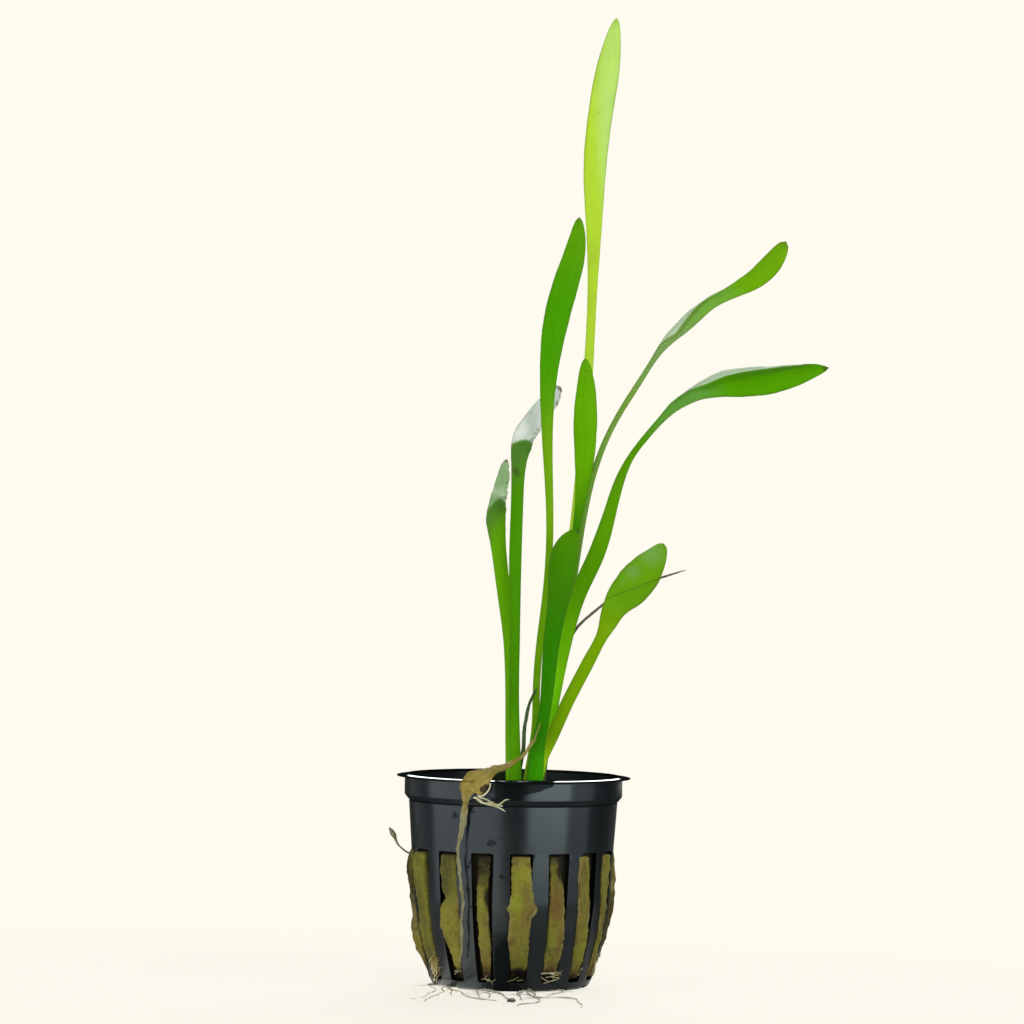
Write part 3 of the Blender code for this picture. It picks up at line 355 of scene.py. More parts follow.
RIM_THREADS = {
    "rim_thread_1": ((-8.0, -27.0, 44.9), (-6.4, -27.0, 44.5), (-5.1, -26.8, 43.8), (-3.7, -26.5, 43.2),
                     (-2.8, -26.4, 43.5), (-1.8, -26.3, 44.3), (-0.9, -26.2, 44.4)),
    "rim_thread_2": ((-8.6, -27.2, 45.0), (-7.3, -27.0, 43.7), (-5.7, -26.8, 43.6), (-4.4, -26.8, 43.8)),
    "rim_thread_3": ((-5.7, -26.6, 43.4), (-4.6, -26.5, 43.3), (-3.4, -26.4, 43.0), (-2.3, -26.2, 42.9)),
}
# Skins of thin pieces: the pale and the brown as read on screen, and roughness
THIN_SKINS = {
    "needle_leaf_skin": ((112, 112, 86), (78, 86, 48), 0.45),
    "shoot_skin": ((80, 112, 62), (48, 86, 14), 0.45),
    "sprig_skin": ((116, 118, 78), (84, 88, 48), 0.5),
    "slot_rootlet_skin": ((206, 200, 150), (150, 140, 84), 0.6),
    "rim_root_skin": ((208, 202, 166), (160, 158, 118), 0.6),
    "root_tangle_skin": ((96, 92, 64), (52, 50, 30), 0.6),
}

# Floor roots: azimuth of the notch, place in it, x and y of the points on the floor; the height of
# their middle line and the steps along it; and the tangle at the end of one, its threads and radius
ROOT_HEIGHT = 0.28
ROOT_STEPS = 110
TANGLE_HAIRS = 44
TANGLE_RADIUS = 1.1
FLOOR_ROOTS = {
    "root_1": (-78, 0.8, ((-18, -13), (-17.2, -24), (-18.5, -31), (-20.8, -43), (-24.3, -48))),
    "root_2": (-48, -0.8, ((-15, -24), (-15.8, -30), (-17.2, -37), (-18.7, -45), (-19.5, -52))),
    "root_3": (-48, 0.8, ((-12, -21.5), (-10.8, -29), (-9.2, -36), (-6.3, -41.5), (-2.8, -45))),
    "root_4": (-18, -0.8, ((-7.5, -24), (-7.2, -31), (-7, -37))),
    "root_5": (-18, 0.0, ((-5.2, -25), (-4.6, -32), (-5, -39))),
    "root_6": (-18, 0.8, ((-3.2, -23), (-1.6, -32), (-0.5, -41), (0.3, -48.5))),
    "root_7": (12, -0.8, ((2, -24), (2.4, -35), (2.6, -44))),
    "root_8": (12, 0.0, ((4, -25), (5.2, -33), (6.6, -40), (5.8, -48.4), (3, -52.3), (1.7, -60))),
    "root_9": (12, 0.8, ((5.7, -25), (7.2, -35), (9.8, -33.7), (12.7, -34.3), (15, -43.3), (16, -50.5),
                         (15.3, -60))),
    "root_10": (42, -0.8, ((11, -22), (9.2, -27), (8.6, -31))),
    "root_11": (-48, 0.0, ((-13.6, -20.5), (-13.4, -28), (-13, -33))),
}

# Floor disc: radius, rings, corners and how far it lies under the plant, in mm; and the distances
# in metres between which it fades out
FLOOR_RADIUS = 300.0
FLOOR_RINGS, FLOOR_CORNERS = 23, 96
FLOOR_DROP = 0.01
FLOOR_FADE = (0.09, 0.26)

# Softboxes: azimuth from the front and height in degrees, distance, width and height in metres, the
# light it is part of, its share of that light's brightness, and tint; the point they are aimed at,
# and the tint of the light from all around
SOFTBOXES = {
    "right_softbox": (39, 8, 0.90, 0.80, 1.00, "right_light", 1.0, (0.92, 0.98, 1.0)),
    "side_softbox": (76, 8, 0.90, 0.55, 1.00, "right_light", 0.28, (0.90, 0.96, 1.0)),
    "left_softbox": (-56, 6, 0.90, 1.76, 0.90, "left_light", 1.0, (0.92, 0.95, 1.0)),
    "left_side_softbox": (-124, 8, 0.90, 0.55, 1.00, "left_light", 0.13, (0.92, 0.95, 1.0)),
    "back_softbox": (170, 26, 1.10, 0.90, 1.30, "back_light", 1.0, (1.0, 1.0, 1.0)),
    "top_softbox": (0, 84, 0.95, 0.90, 0.90, "top_light", 1.0, (1.0, 0.99, 0.97)),
}
AIM = (0.0, 0.0, 0.10)
AROUND_TINT = (1.0, 0.98, 0.95)

# Camera: place and nearest view in metres, sensor and lens in mm, and how far it looks down and is
# rolled, in degrees
CAMERA_PLACE = (-0.00145, -1.690, 0.141)
CAMERA_NEAR = 0.05
CAMERA_SENSOR = 36.0
CAMERA_LENS = 257.9
CAMERA_DOWN, CAMERA_ROLL = 1.078, 1.0


# Number work

def ease(x, low=0.0, high=1.0):
    """0 below low, 1 above high, and 3t^2 - 2t^3 between."""
    t = np.clip((x - low) / (high - low), 0.0, 1.0)
    return t * t * (3 - 2 * t)


def unit(vectors):
    """The vectors, each divided by its length."""
    return vectors / np.maximum(np.linalg.norm(vectors, axis=-1, keepdims=True), 1e-12)


def lumps(points, size, seed=0.0):
    """Value noise, -1 to 1: random values at the corners of cubes of that size, eased between them."""
    p = np.asarray(points, float) / size + seed * 17.3
    cell = np.floor(p)
    t = p - cell
    t = t * t * (3 - 2 * t)
    total = 0.0
    for corner in range(8):
        step = np.array([corner & 1, corner >> 1 & 1, corner >> 2 & 1])
        spot = (cell + step) @ np.array([127.1, 311.7, 74.7])
        value = np.modf(np.abs(np.sin(spot) * 43758.5453))[0]
        weight = np.prod(np.where(step, t, 1 - t), axis=-1)
        total = total + value * weight
    return total * 2 - 1


def smooth_rows(rows, count):
    """A natural cubic spline through the rows, spaced by distance and cut into even steps."""
    rows = np.asarray(rows, float)
    gaps = np.linalg.norm(np.diff(rows[:, :3], axis=0), axis=1)
    place = np.concatenate(([0.0], np.cumsum(gaps))) / gaps.sum()
    h = np.diff(place)
    number = len(rows)
    system = np.eye(number)
    wanted = np.zeros_like(rows)
    for i in range(1, number - 1):
        system[i, i - 1:i + 2] = h[i - 1], 2 * (h[i - 1] + h[i]), h[i]
        wanted[i] = 6 * ((rows[i + 1] - rows[i]) / h[i] - (rows[i] - rows[i - 1]) / h[i - 1])
    bend = np.linalg.solve(system, wanted)
    at = np.linspace(0, 1, count)
    k = np.clip(np.searchsorted(place, at, side="right") - 1, 0, number - 2)
    size = h[k][:, None]
    a = (place[k + 1] - at)[:, None] / size
    b = 1 - a
    cubic = ((a ** 3 - a) * bend[k] + (b ** 3 - b) * bend[k + 1]) * size ** 2 / 6
    return a * rows[k] + b * rows[k + 1] + cubic


def wall_radius(height):
    """The outer wall's radius: straight between the points of its line."""
    heights = [z for _, z in reversed(WALL_LINE)]
    radii = [r for r, _ in reversed(WALL_LINE)]
    return np.interp(height, heights, radii)


def slot_half(height):
    """Half of a slot's width, which grows evenly with the height."""
    share = (height - SLOT_BOTTOM) / (SLOT_TOP - SLOT_BOTTOM)
    return SLOT_HALF_BOTTOM + (SLOT_HALF_TOP - SLOT_HALF_BOTTOM) * share


def on_circle(radius, angle, height):
    """Points at that radius and height, at an angle in radians from the front to the right."""
    return np.stack(np.broadcast_arrays(radius * np.sin(angle), -radius * np.cos(angle), height), -1)


def with_patches(value, table, azimuth, height):
    """Adds soft patches: each falls off as a bell curve in azimuth and in height."""
    for middle, level, wide, tall, strength in table:
        gap = (azimuth - middle + 180) % 360 - 180
        value = value + strength * np.exp(-(gap / wide) ** 2 - ((height - level) / tall) ** 2)
    return value


# Meshes

def put_mesh(name, points, faces, uv=None, values=None, turn=True):
    """A mesh object from points in mm; uv and values hold one entry a point; turn makes the
    faces point outwards."""
    mesh = bpy.data.meshes.new(name)
    mesh.from_pydata((np.asarray(points) * MM).tolist(), [], faces)
    if uv is not None:
        corner = np.empty(len(mesh.loops), np.int32)
        mesh.loops.foreach_get("vertex_index", corner)
        layer = mesh.uv_layers.new(name="surface")
        layer.data.foreach_set("uv", np.asarray(uv, np.float32)[corner].ravel())
    for key, numbers in (values or {}).items():
        layer = mesh.attributes.new(key, "FLOAT", "POINT")
        layer.data.foreach_set("value", np.asarray(numbers, np.float32).ravel())
    if turn:
        work = bmesh.new()
        work.from_mesh(mesh)
        bmesh.ops.recalc_face_normals(work, faces=work.faces)
        work.to_mesh(mesh)
        work.free()
    mesh.polygons.foreach_set("use_smooth", [True] * len(mesh.polygons))
    mesh.update()
    piece = bpy.data.objects.new(name, mesh)
    bpy.context.scene.collection.objects.link(piece)
    return piece


def ring_faces(rings, sides, first=0):
    """Quads between rings that are closed around, as an array of four corners."""
    i, j = np.meshgrid(np.arange(rings - 1), np.arange(sides), indexing="ij")
    low = first + i * sides
    after = (j + 1) % sides
    return np.stack([low + j, low + after, low + sides + after, low + sides + j], -1).reshape(-1, 4)


def fan_faces(middle, first, sides, forward=True):
    """Triangles from a middle point to the ring that begins at first."""
    one = first + np.arange(sides)
    two = first + (np.arange(sides) + 1) % sides
    if not forward:
        one, two = two, one
    return np.stack([np.full(sides, middle), one, two], -1).tolist()


def loft(name, rings, uv=None, values=None):
    """A closed skin over rings of equal count, with a fan of triangles at either end."""
    count, sides = rings.shape[:2]
    points = np.concatenate([rings.reshape(-1, 3), rings[0].mean(0)[None], rings[-1].mean(0)[None]])
    faces = ring_faces(count, sides).tolist()
    faces += fan_faces(count * sides, 0, sides, forward=False)
    faces += fan_faces(count * sides + 1, (count - 1) * sides, sides)
    if uv is not None:
        uv = np.concatenate([uv.reshape(-1, 2), uv[0].mean(0)[None], uv[-1].mean(0)[None]])
    if values is not None:
        values = {k: np.concatenate([v.reshape(-1), [v[0].mean()], [v[-1].mean()]])
                  for k, v in values.items()}
    return put_mesh(name, points, faces, uv, values)


def carried_frames(path):
    """Two directions across a path at each point, turned with it so that they never flip."""
    along = unit(np.gradient(path, axis=0))
    pick = np.eye(3)[np.argmin(np.abs(along[0]))]
    first = unit(np.cross(along[0], pick))
    sides = [first]
    for k in range(1, len(path)):
        side = sides[-1] - along[k] * (sides[-1] @ along[k])
        sides.append(unit(side))
    side = np.array(sides)
    return side, np.cross(along, side)


def tube_rings(path, radius, sides, wander, seed):
    """Circles of the given radii set square to the path; wander makes them uneven, in mm."""
    side, lift = carried_frames(path)
    angle = np.linspace(0, 2 * math.pi, sides, endpoint=False)
    radius = np.broadcast_to(radius, len(path))[:, None]
    rim = (side[:, None] * np.cos(angle)[None, :, None] + lift[:, None] * np.sin(angle)[None, :, None])
    rings = path[:, None] + rim * radius[..., None]
    rings = rings + rim * (lumps(rings, 0.7, seed) * wander)[..., None]
    share = np.linspace(0, 1, len(path))[:, None] * np.ones(sides)
    uv = np.stack([0.5 + 0.5 * np.cos(angle)[None] * np.ones_like(share), share], -1)
    return rings, uv


def many_tubes(name, paths, radii, sides):
    """Many thin tubes in one mesh: paths is strands by points by 3, radii strands by points."""
    strands, length = paths.shape[:2]
    along = unit(np.gradient(paths, axis=1))
    pick = np.eye(3)[np.argmin(np.abs(along.mean(1)), axis=1)][:, None]
    side = unit(np.cross(along, pick))
    lift = np.cross(along, side)
    angle = np.linspace(0, 2 * math.pi, sides, endpoint=False)
    rim = (side[:, :, None] * np.cos(angle)[:, None] + lift[:, :, None] * np.sin(angle)[:, None])
    points = paths[:, :, None] + rim * radii[:, :, None, None]
    one = ring_faces(length, sides)
    step = length * sides
    first = (np.arange(strands) * step)[:, None, None]
    quads = (one[None] + first).reshape(-1, 4).tolist()
    ends = (np.arange(sides)[None] + np.array([[0], [step - sides]]))
    ends[0] = ends[0][::-1]
    caps = (ends[None] + first).reshape(-1, sides).tolist()
    share = np.linspace(0, 1, length)[None, :, None] * np.ones((strands, 1, sides))
    which = (np.arange(strands) / max(strands - 1, 1))[:, None, None] * np.ones((1, length, sides))
    uv = np.stack([which, share], -1).reshape(-1, 2)
    return put_mesh(name, points.reshape(-1, 3), quads + caps, uv, turn=False)


# Shader maths

class Field:
    """A number that varies over a surface. Arithmetic on it adds Math nodes."""

    def __init__(self, finish, socket):
        self.finish = finish
        self.socket = socket

    def do(self, operation, *others):
        node = self.finish.node("ShaderNodeMath", {"operation": operation}, dict(enumerate((self, *others))))
        return Field(self.finish, node.outputs[0])

    def flipped(self, operation, other):
        node = self.finish.node("ShaderNodeMath", {"operation": operation}, {0: other, 1: self})
        return Field(self.finish, node.outputs[0])

    def __add__(self, other):
        return self.do("ADD", other)

    __radd__ = __add__

    def __mul__(self, other):
        return self.do("MULTIPLY", other)

    __rmul__ = __mul__

    def __sub__(self, other):
        return self.do("SUBTRACT", other)

    def __rsub__(self, other):
        return self.flipped("SUBTRACT", other)

    def __truediv__(self, other):
        return self.do("DIVIDE", other)

    def __rtruediv__(self, other):
        return self.flipped("DIVIDE", other)

    def __pow__(self, other):
        return self.do("POWER", other)

    def __abs__(self):
        return self.do("ABSOLUTE")

    def cos(self):
        return self.do("COSINE")

    def most(self, other):
        return self.do("MAXIMUM", other)

    def least(self, other):
        return self.do("MINIMUM", other)

    def eased(self, low, high):
        """0 below low, 1 above high, eased between; low may be above high."""
        swap = low > high
        settings = {"interpolation_type": "SMOOTHSTEP"}
        node = self.finish.node("ShaderNodeMapRange", settings, {
            "Value": self, "From Min": min(low, high), "From Max": max(low, high),
            "To Min": 1.0 if swap else 0.0, "To Max": 0.0 if swap else 1.0})
        return Field(self.finish, node.outputs[0])


class Finish:
    """A material and the nodes in it."""

    def __init__(self, name):
        self.material = bpy.data.materials.new(name)
        self.material.use_nodes = True
        self.tree = self.material.node_tree
        self.tree.nodes.clear()
        self.output = self.tree.nodes.new("ShaderNodeOutputMaterial")

    def node(self, kind, settings=None, inputs=None):
        """One node: its settings are set first, then each socket's value or link."""
        node = self.tree.nodes.new(kind)
        for key, value in (settings or {}).items():
            setattr(node, key, value)
        for key, value in (inputs or {}).items():
            socket = node.inputs[key]
            if isinstance(value, Field):
                self.tree.links.new(value.socket, socket)
            elif isinstance(value, bpy.types.NodeSocket):
                self.tree.links.new(value, socket)
            elif socket.type == "RGBA":
                socket.default_value = (*value, 1.0)
            else:
                socket.default_value = value
        return node

    def place(self, kind="Object"):
        return self.node("ShaderNodeTexCoord").outputs[kind]

    def split(self, vector):
        node = self.node("ShaderNodeSeparateXYZ", None, {0: vector})
        return [Field(self, node.outputs[k]) for k in range(3)]

    def millimetres(self, place):
        return [axis * TO_MM for axis in self.split(place)]

    def join(self, x, y, z=0.0):
        return self.node("ShaderNodeCombineXYZ", None, {0: x, 1: y, 2: z}).outputs[0]

    def stored(self, name):
        return Field(self, self.node("ShaderNodeAttribute", {"attribute_name": name}).outputs["Fac"])

    def noise(self, vector, scale, detail=2.0, rough=0.5, distort=0.0):
        node = self.node("ShaderNodeTexNoise", None, {
            "Vector": vector, "Scale": scale, "Detail": detail, "Roughness": rough, "Distortion": distort})
        return Field(self, node.outputs["Fac"])

    def blend(self, share, first, second):
        """A colour between the first, where the share is 0, and the second, where it is 1."""
        node = self.node("ShaderNodeMix", {"data_type": "RGBA"}, {0: share, 6: first, 7: second})
        return node.outputs[2]

    def paint(self, colour, *layers):
        """Lays colours over the first, one after another, each by its share."""
        for share, over in layers:
            colour = self.blend(share, colour, over)
        return colour

    def near(self, place, x, y, z, radius, soft=0.4):
        """1 inside a ball at the point, in mm, falling to 0 at its edge."""
        node = self.node("ShaderNodeVectorMath", {"operation": "DISTANCE"},
                         {0: place, 1: (x * MM, y * MM, z * MM)})
        return Field(self, node.outputs["Value"]).eased(radius * MM, radius * soft * MM)

    def bump(self, height, strength, distance):
        return self.node("ShaderNodeBump", None, {
            "Height": height, "Strength": strength, "Distance": distance * MM}).outputs[0]

    def skin(self, **inputs):
        """A Principled shader; the sockets are named with _ for the space."""
        names = {key.replace("_", " "): value for key, value in inputs.items()}
        return self.node("ShaderNodeBsdfPrincipled", None, names).outputs[0]

    def translucent(self, red, green, blue):
        return self.node("ShaderNodeBsdfTranslucent", None, {"Color": screen(red, green, blue)}).outputs[0]

    def glow(self, colour, strength):
        inputs = {"Color": tuple(colour), "Strength": strength}
        return self.node("ShaderNodeEmission", None, inputs).outputs[0]

    def mix(self, share, first, second):
        """The first shader, where the share is 0, and the second, where it is 1."""
        return self.node("ShaderNodeMixShader", None, {0: share, 1: first, 2: second}).outputs[0]

    def close(self, shader):
        self.tree.links.new(shader, self.output.inputs[0])
        return self.material


def tinted(colour, share):
    """A screen colour made darker or lighter by that share."""
    return tuple(min(c * share, 1.0) for c in screen(*colour))


def painted_sheen_strip(look, sheen_strip, x, y, fibre, shade):
    """A painted sheen on a leaf's upper edge: a pale strip with a painted highlight line and a fold in
    it, and a greyer stretch of painted sheen and a line of painted shade beside it: the strip's share,
    its layers of colour and how much light they keep back."""
    begin, full, end, width, haze_end = sheen_strip
    reach = y.eased(begin, full) * ((end - y) / (end - full)).least(1.0) * width
    upper = (reach + (fibre - 0.5) * 0.05 - x).eased(0.0, 0.03)
    painted_glint = abs(reach - x - 0.05).eased(0.05, 0.02) * upper
    fold = abs(reach - x - 0.12).eased(0.05, 0.01) * upper * fibre.eased(0.35, 0.6)
    haze = y.eased(begin - 0.10, begin) * y.eased(haze_end, haze_end - 0.07) * (1.0 - upper)
    core = abs(x - reach - 0.12).eased(0.16, 0.02) * y.eased(begin, full) * y.eased(end, end - 0.05)
    layers = ((upper, look.leaf_sheen_strip), (painted_glint * 0.7, look.leaf_painted_glint), (fold * 0.6, look.leaf_painted_sheen),
              (haze * 0.36, look.leaf_painted_sheen), (core * 0.8, shade))
    return upper, layers, core * 0.26 + haze * 0.10 + fold * 0.35 - upper * 0.06


def underside(f, look, x, y, slanted, low, on_blade):
    """A blade's underside above its bend: painted shade below the bend, greyer streaks of painted sheen,
    and dry ripples towards its right edge. Its layers of colour and how much light they keep back."""
    bend_shade = slanted.eased(low - 0.12, low - 0.02) * (1.0 - on_blade)
    ripple = f.noise(f.join(x * 2.0, y * 90.0 - x * 4.0), 1.0, 1.0).eased(0.50, 0.62) * on_blade
    ripple = ripple * x.eased(0.62, 0.9)
    sheen_streaks = f.noise(f.join(x * 7.0, y * 14.0), 1.0, 3.0, 0.6).eased(0.42, 0.62) * on_blade
    layers = ((bend_shade * 0.85, look.leaf_bend_shade), (sheen_streaks * 0.55, look.leaf_painted_sheen),
              (ripple * 0.8, look.leaf_edge))
    return layers, bend_shade * 0.34 + ripple * 0.45 + sheen_streaks * 0.16


def leaf_finish(name, look, blade, stem, blade_glow, stem_glow, through, change, lean=0.0, tip=0.5,
                base=0.62, foot=0.20, lift=1.5, sheen_strip=None, needle_shadow=None, under=False, spots=(), painted_glints=()):
    """Green tissue that light comes through, with parallel veins from the stem to the tip and
    fine rungs between them; veins, edges and patches are where less light comes through."""
    f = Finish(name)
    place = f.place()
    x, y, _ = f.split(f.place("UV"))
    across = x * 2.0 - 1.0
    vein = ((across * (look.veins * math.pi)).cos() * 0.5 + 0.5) ** 3.0
    fibre = f.noise(f.join(x * 22.0, y * 7.0), 1.0, 3.0, 0.6)
    rungs = f.noise(f.join(x * 2.5, y * 170.0), 1.0, 1.0).eased(0.55, 0.75)
    patch = f.noise(place, 130.0, 3.0, 0.55)
    fine = f.noise(place, 1500.0)
    slanted = y + across * lean
    uneven = 0.012 if under else 0.03
    on_blade = (slanted + (fibre - 0.5) * uneven).eased(*change)
    at_tip = y.eased(0.84, 0.97) * tip
    at_base = y.eased(foot, foot * 0.15)
    edge = abs(across).eased(0.80, 0.99)
    shade, pale = (f.blend(on_blade, tinted(stem, share), tinted(blade, share)) for share in (0.55, 1.25))
    layers = [(at_tip * 0.6, look.leaf_tip),
              # painted light: lift makes the foot's colour lighter against the shade that the other leaves
              # cast on it
              (at_base, tinted(stem, lift)),
              (patch.eased(0.36, 0.72) * look.mottle, shade),
              (vein * on_blade * look.vein_strength, shade),
              (rungs * 0.16, shade),
              (fibre.eased(0.50, 0.78) * look.mottle, pale)]
    dark = patch.eased(0.40, 0.75) * 0.12 + vein * on_blade * 0.10 + (1.0 - fibre) * 0.10
    dark = dark + rungs * 0.08 + edge * 0.26
    leafy = on_blade * (1.0 - at_tip)
    back = f.mix(leafy, f.translucent(*stem_glow), f.translucent(*blade_glow))
    # painted sheen: a pale strip along the upper edge with a painted highlight line, and painted shade beside
    # it
    if sheen_strip:
        upper, more, darker = painted_sheen_strip(look, sheen_strip, x, y, fibre, shade)
        back = f.mix(upper, back, f.translucent(*SHEEN_STRIP_GLOW))
        layers += more
        dark = dark + darker
    layers += [(edge * 0.6, look.leaf_edge), (y.eased(0.984, 1.0) * 0.7, look.leaf_edge)]
    if under:
        more, darker = underside(f, look, x, y, slanted, change[0], on_blade)
        layers += more
        dark = dark + darker
    spot = sum(f.near(place, *ball) for ball in spots)
    # painted shadow: a dark line across the blade along the needle leaf behind it
    if needle_shadow:
        shadow_x, shadow_z, slope, half = needle_shadow
        x_mm, _, z_mm = f.millimetres(place)
        away = abs(z_mm - shadow_z - (x_mm - shadow_x) * slope)
        spot = away.eased(half, half * 0.4) * on_blade * 0.8 + spot
    # the real spots and the painted needle shadow share one dark colour
    if spots or needle_shadow:
        layers.append((spot.least(1.0) * 0.85, look.leaf_spot_and_shadow))
        dark = dark + spot * 0.5
    # painted highlights: pale balls of painted sheen over the blade
    for ball in painted_glints:
        painted_glint = f.near(place, *ball, 0.0) * (fibre * 0.8 + 0.4)
        layers.append((painted_glint * 0.6, look.leaf_painted_sheen))
        dark = dark + painted_glint * 0.2
    colour = f.paint(f.blend(on_blade, screen(*stem), screen(*blade)), *layers)
    normal = f.bump(vein * 0.45 + fibre * 0.4 + fine * 0.15, 0.35, 0.05)
    rough = look.roughness + (patch - 0.5) * 0.14 + (fine - 0.5) * 0.10
    front = f.skin(Base_Color=colour, Roughness=rough, Normal=normal, IOR=1.42,
                   Specular_IOR_Level=0.2, Specular_Tint=look.sheen)
    blade_share, stem_share = through
    open_share = (leafy * (blade_share - stem_share) + stem_share) * (1.0 - at_base * base)
    return f.close(f.mix(open_share * (1.0 - dark.least(0.9)), front, back))


def dead_finish(look):
    """Papery golden tissue, browner along the veins, with painted shade in its creases and a painted
    highlight on its top, grey-green down its strand.
    """
    f = Finish("dead_leaf_tissue")
    place = f.place()
    x, y, _ = f.split(f.place("UV"))
    x_mm, _, z_mm = f.millimetres(place)
    streak = f.noise(f.join(x * 14.0, y * 16.0), 1.0, 4.0, 0.65)
    patch = f.noise(place, 420.0, 4.0, 0.6)
    broad = f.noise(place, 190.0)
    on_sheet = z_mm.eased(*SHEET_FOOT) * x_mm.eased(*SHEET_RIGHT)
    top = on_sheet * z_mm.eased(*SHEET_TOP)
    strand = y.eased(*STRAND_START)
    hole = 0.0
    for hole_x, hole_z, radius in DEAD_HOLES:
        aside, above = x_mm - hole_x, z_mm - hole_z
        gap = (aside * aside + above * above) ** 0.5 + (patch - 0.5) * 0.8
        hole = gap.eased(radius, radius * 0.6) * on_sheet + hole
    hole = hole.least(1.0)
    crease = 0.0
    for start_x, start_z, slope, half, left, right in DEAD_CREASES:
        gap = abs(z_mm - start_z - (x_mm - start_x) * slope) + (patch - 0.5) * 0.5
        along = x_mm.eased(left, left + 0.4) * x_mm.eased(right, right - 0.4)
        crease = gap.eased(half, 0.05) * along + crease
    crease = (crease * on_sheet).least(1.0)
    colour = f.paint(look.dead_pale,
                     (streak.eased(0.35, 0.68), look.dead_tan),
                     (broad.eased(0.42, 0.62) * 0.6, look.dead_gold),
                     (patch.eased(0.52, 0.74) * 0.6, look.dead_brown),
                     # painted highlight: the top of the sheet is paler
                     (top * 0.6, look.dead_pale),
                     (on_sheet * x_mm.eased(*SHEET_LEFT) * 0.6, look.dead_brown),
                     (strand * 0.85, f.blend(streak.eased(0.38, 0.62), look.strand_pale, look.strand_dark)),
                     (hole * 0.95, look.dead_hole),
                     # painted shade in the creases
                     (crease * 0.75, look.dead_brown))
    normal = f.bump(streak * 0.5 + patch * 0.5 - crease * 0.6, 0.8, 0.3)
    front = f.skin(Base_Color=colour, Roughness=0.48 + (patch - 0.5) * 0.2 + hole * 0.4,
                   Normal=normal, Specular_IOR_Level=0.35)
    open_share = (1.0 - strand) * (1.0 - hole) * (top * 0.25 + 0.40)
    return f.close(f.mix(open_share, front, f.translucent(*DEAD_GLOW)))


def pot_finish(look):
    """Black moulded plastic: a soft shine, faint flow marks, dust, dried drops, a dark dull place low on
    a rib and a dark dull patch under the rim at the front. The groove is dull and dark as painted shade,
    the collar's slanted foot is dull with a lighter flat colour as painted sheen, the flange is dull, and
    the flange's front lip shines."""
    f = Finish("net_pot_plastic")
    place = f.place()
    px, py, pz = f.split(place)
    x, y, z = f.millimetres(place)
    flow = f.noise(f.join(px, py, pz * 0.35), 90.0, 3.0, 0.55)
    grain = f.noise(place, 2600.0)
    smear = f.noise(place, 160.0, 4.0, 0.62)
    blot = f.noise(place, 650.0)
    facing = y.eased(*POT_FRONT)
    colour = f.blend(smear.eased(0.50, 0.75) * 0.5, look.plastic, look.plastic_dust)
    marks = 0.0
    for drop_x, drop_z, radius in DROPS:
        aside, above = x - drop_x, z - drop_z
        gap = (aside * aside + above * above * 1.6) ** 0.5 + (blot - 0.5) * radius * 2.4
        marks = gap.eased(radius * 1.1, radius * 0.4) * facing + marks
    # a dark, dull patch under the rim at the front, with a step
    dark_patch_edge = z - x * 0.28 + (smear - 0.5) * 1.4
    dark_patch = dark_patch_edge.eased(*DARK_PATCH_EDGE).most(x.eased(*DARK_STEP_RIGHT) * z.eased(*DARK_STEP_EDGE))
    dark_patch = dark_patch * x.eased(*DARK_PATCH_LEFT) * x.eased(*DARK_PATCH_RIGHT) * facing
    # a dark, dull place low on a rib
    rib_dark = (z - x * 0.8 + (blot - 0.5) * 3.0).eased(*RIB_DARK_EDGE)
    rib_dark = rib_dark * x.eased(*RIB_DARK_LEFT) * x.eased(*RIB_DARK_RIGHT) * facing
    # painted shade: the groove under the collar is made dull and dark
    groove_shade = abs(z - GROOVE_HEIGHT).eased(0.30, 0.12)
    # painted sheen: the collar's slanted foot is dull, with a lighter flat colour in place of its shine
    bevel_sheen = z.eased(*BEVEL_FOOT) * z.eased(*BEVEL_TOP) * 0.75
    reach = (x * x + y * y) ** 0.5
    flange = z.eased(*FLANGE_FOOT)
    lip = flange * reach.eased(*LIP_OUTSIDE) * reach.eased(*LIP_INSIDE) * y.eased(*LIP_FRONT)
    matt = (marks.least(1.0) * 0.65).most(groove_shade).most(bevel_sheen).most(dark_patch * 0.85)
    matt = matt.most(rib_dark * 0.8).most(flange - lip)
    rough = look.plastic_roughness + (flow - 0.5) * 0.16 + (smear - 0.5) * 0.16
    normal = f.bump(flow * 0.8 + grain * 0.2, 0.16, 0.06)
    shiny = f.skin(Base_Color=colour, Roughness=rough, Normal=normal, IOR=1.5,
                   Specular_Tint=look.plastic_sheen, Coat_Weight=lip, Coat_IOR=2.2, Coat_Roughness=0.12)
    dull = f.skin(Base_Color=f.blend(bevel_sheen, look.plastic_dull, look.plastic_bevel_sheen),
                  Roughness=0.9, Specular_IOR_Level=0.0)
    return f.close(f.mix(matt, shiny, dull))


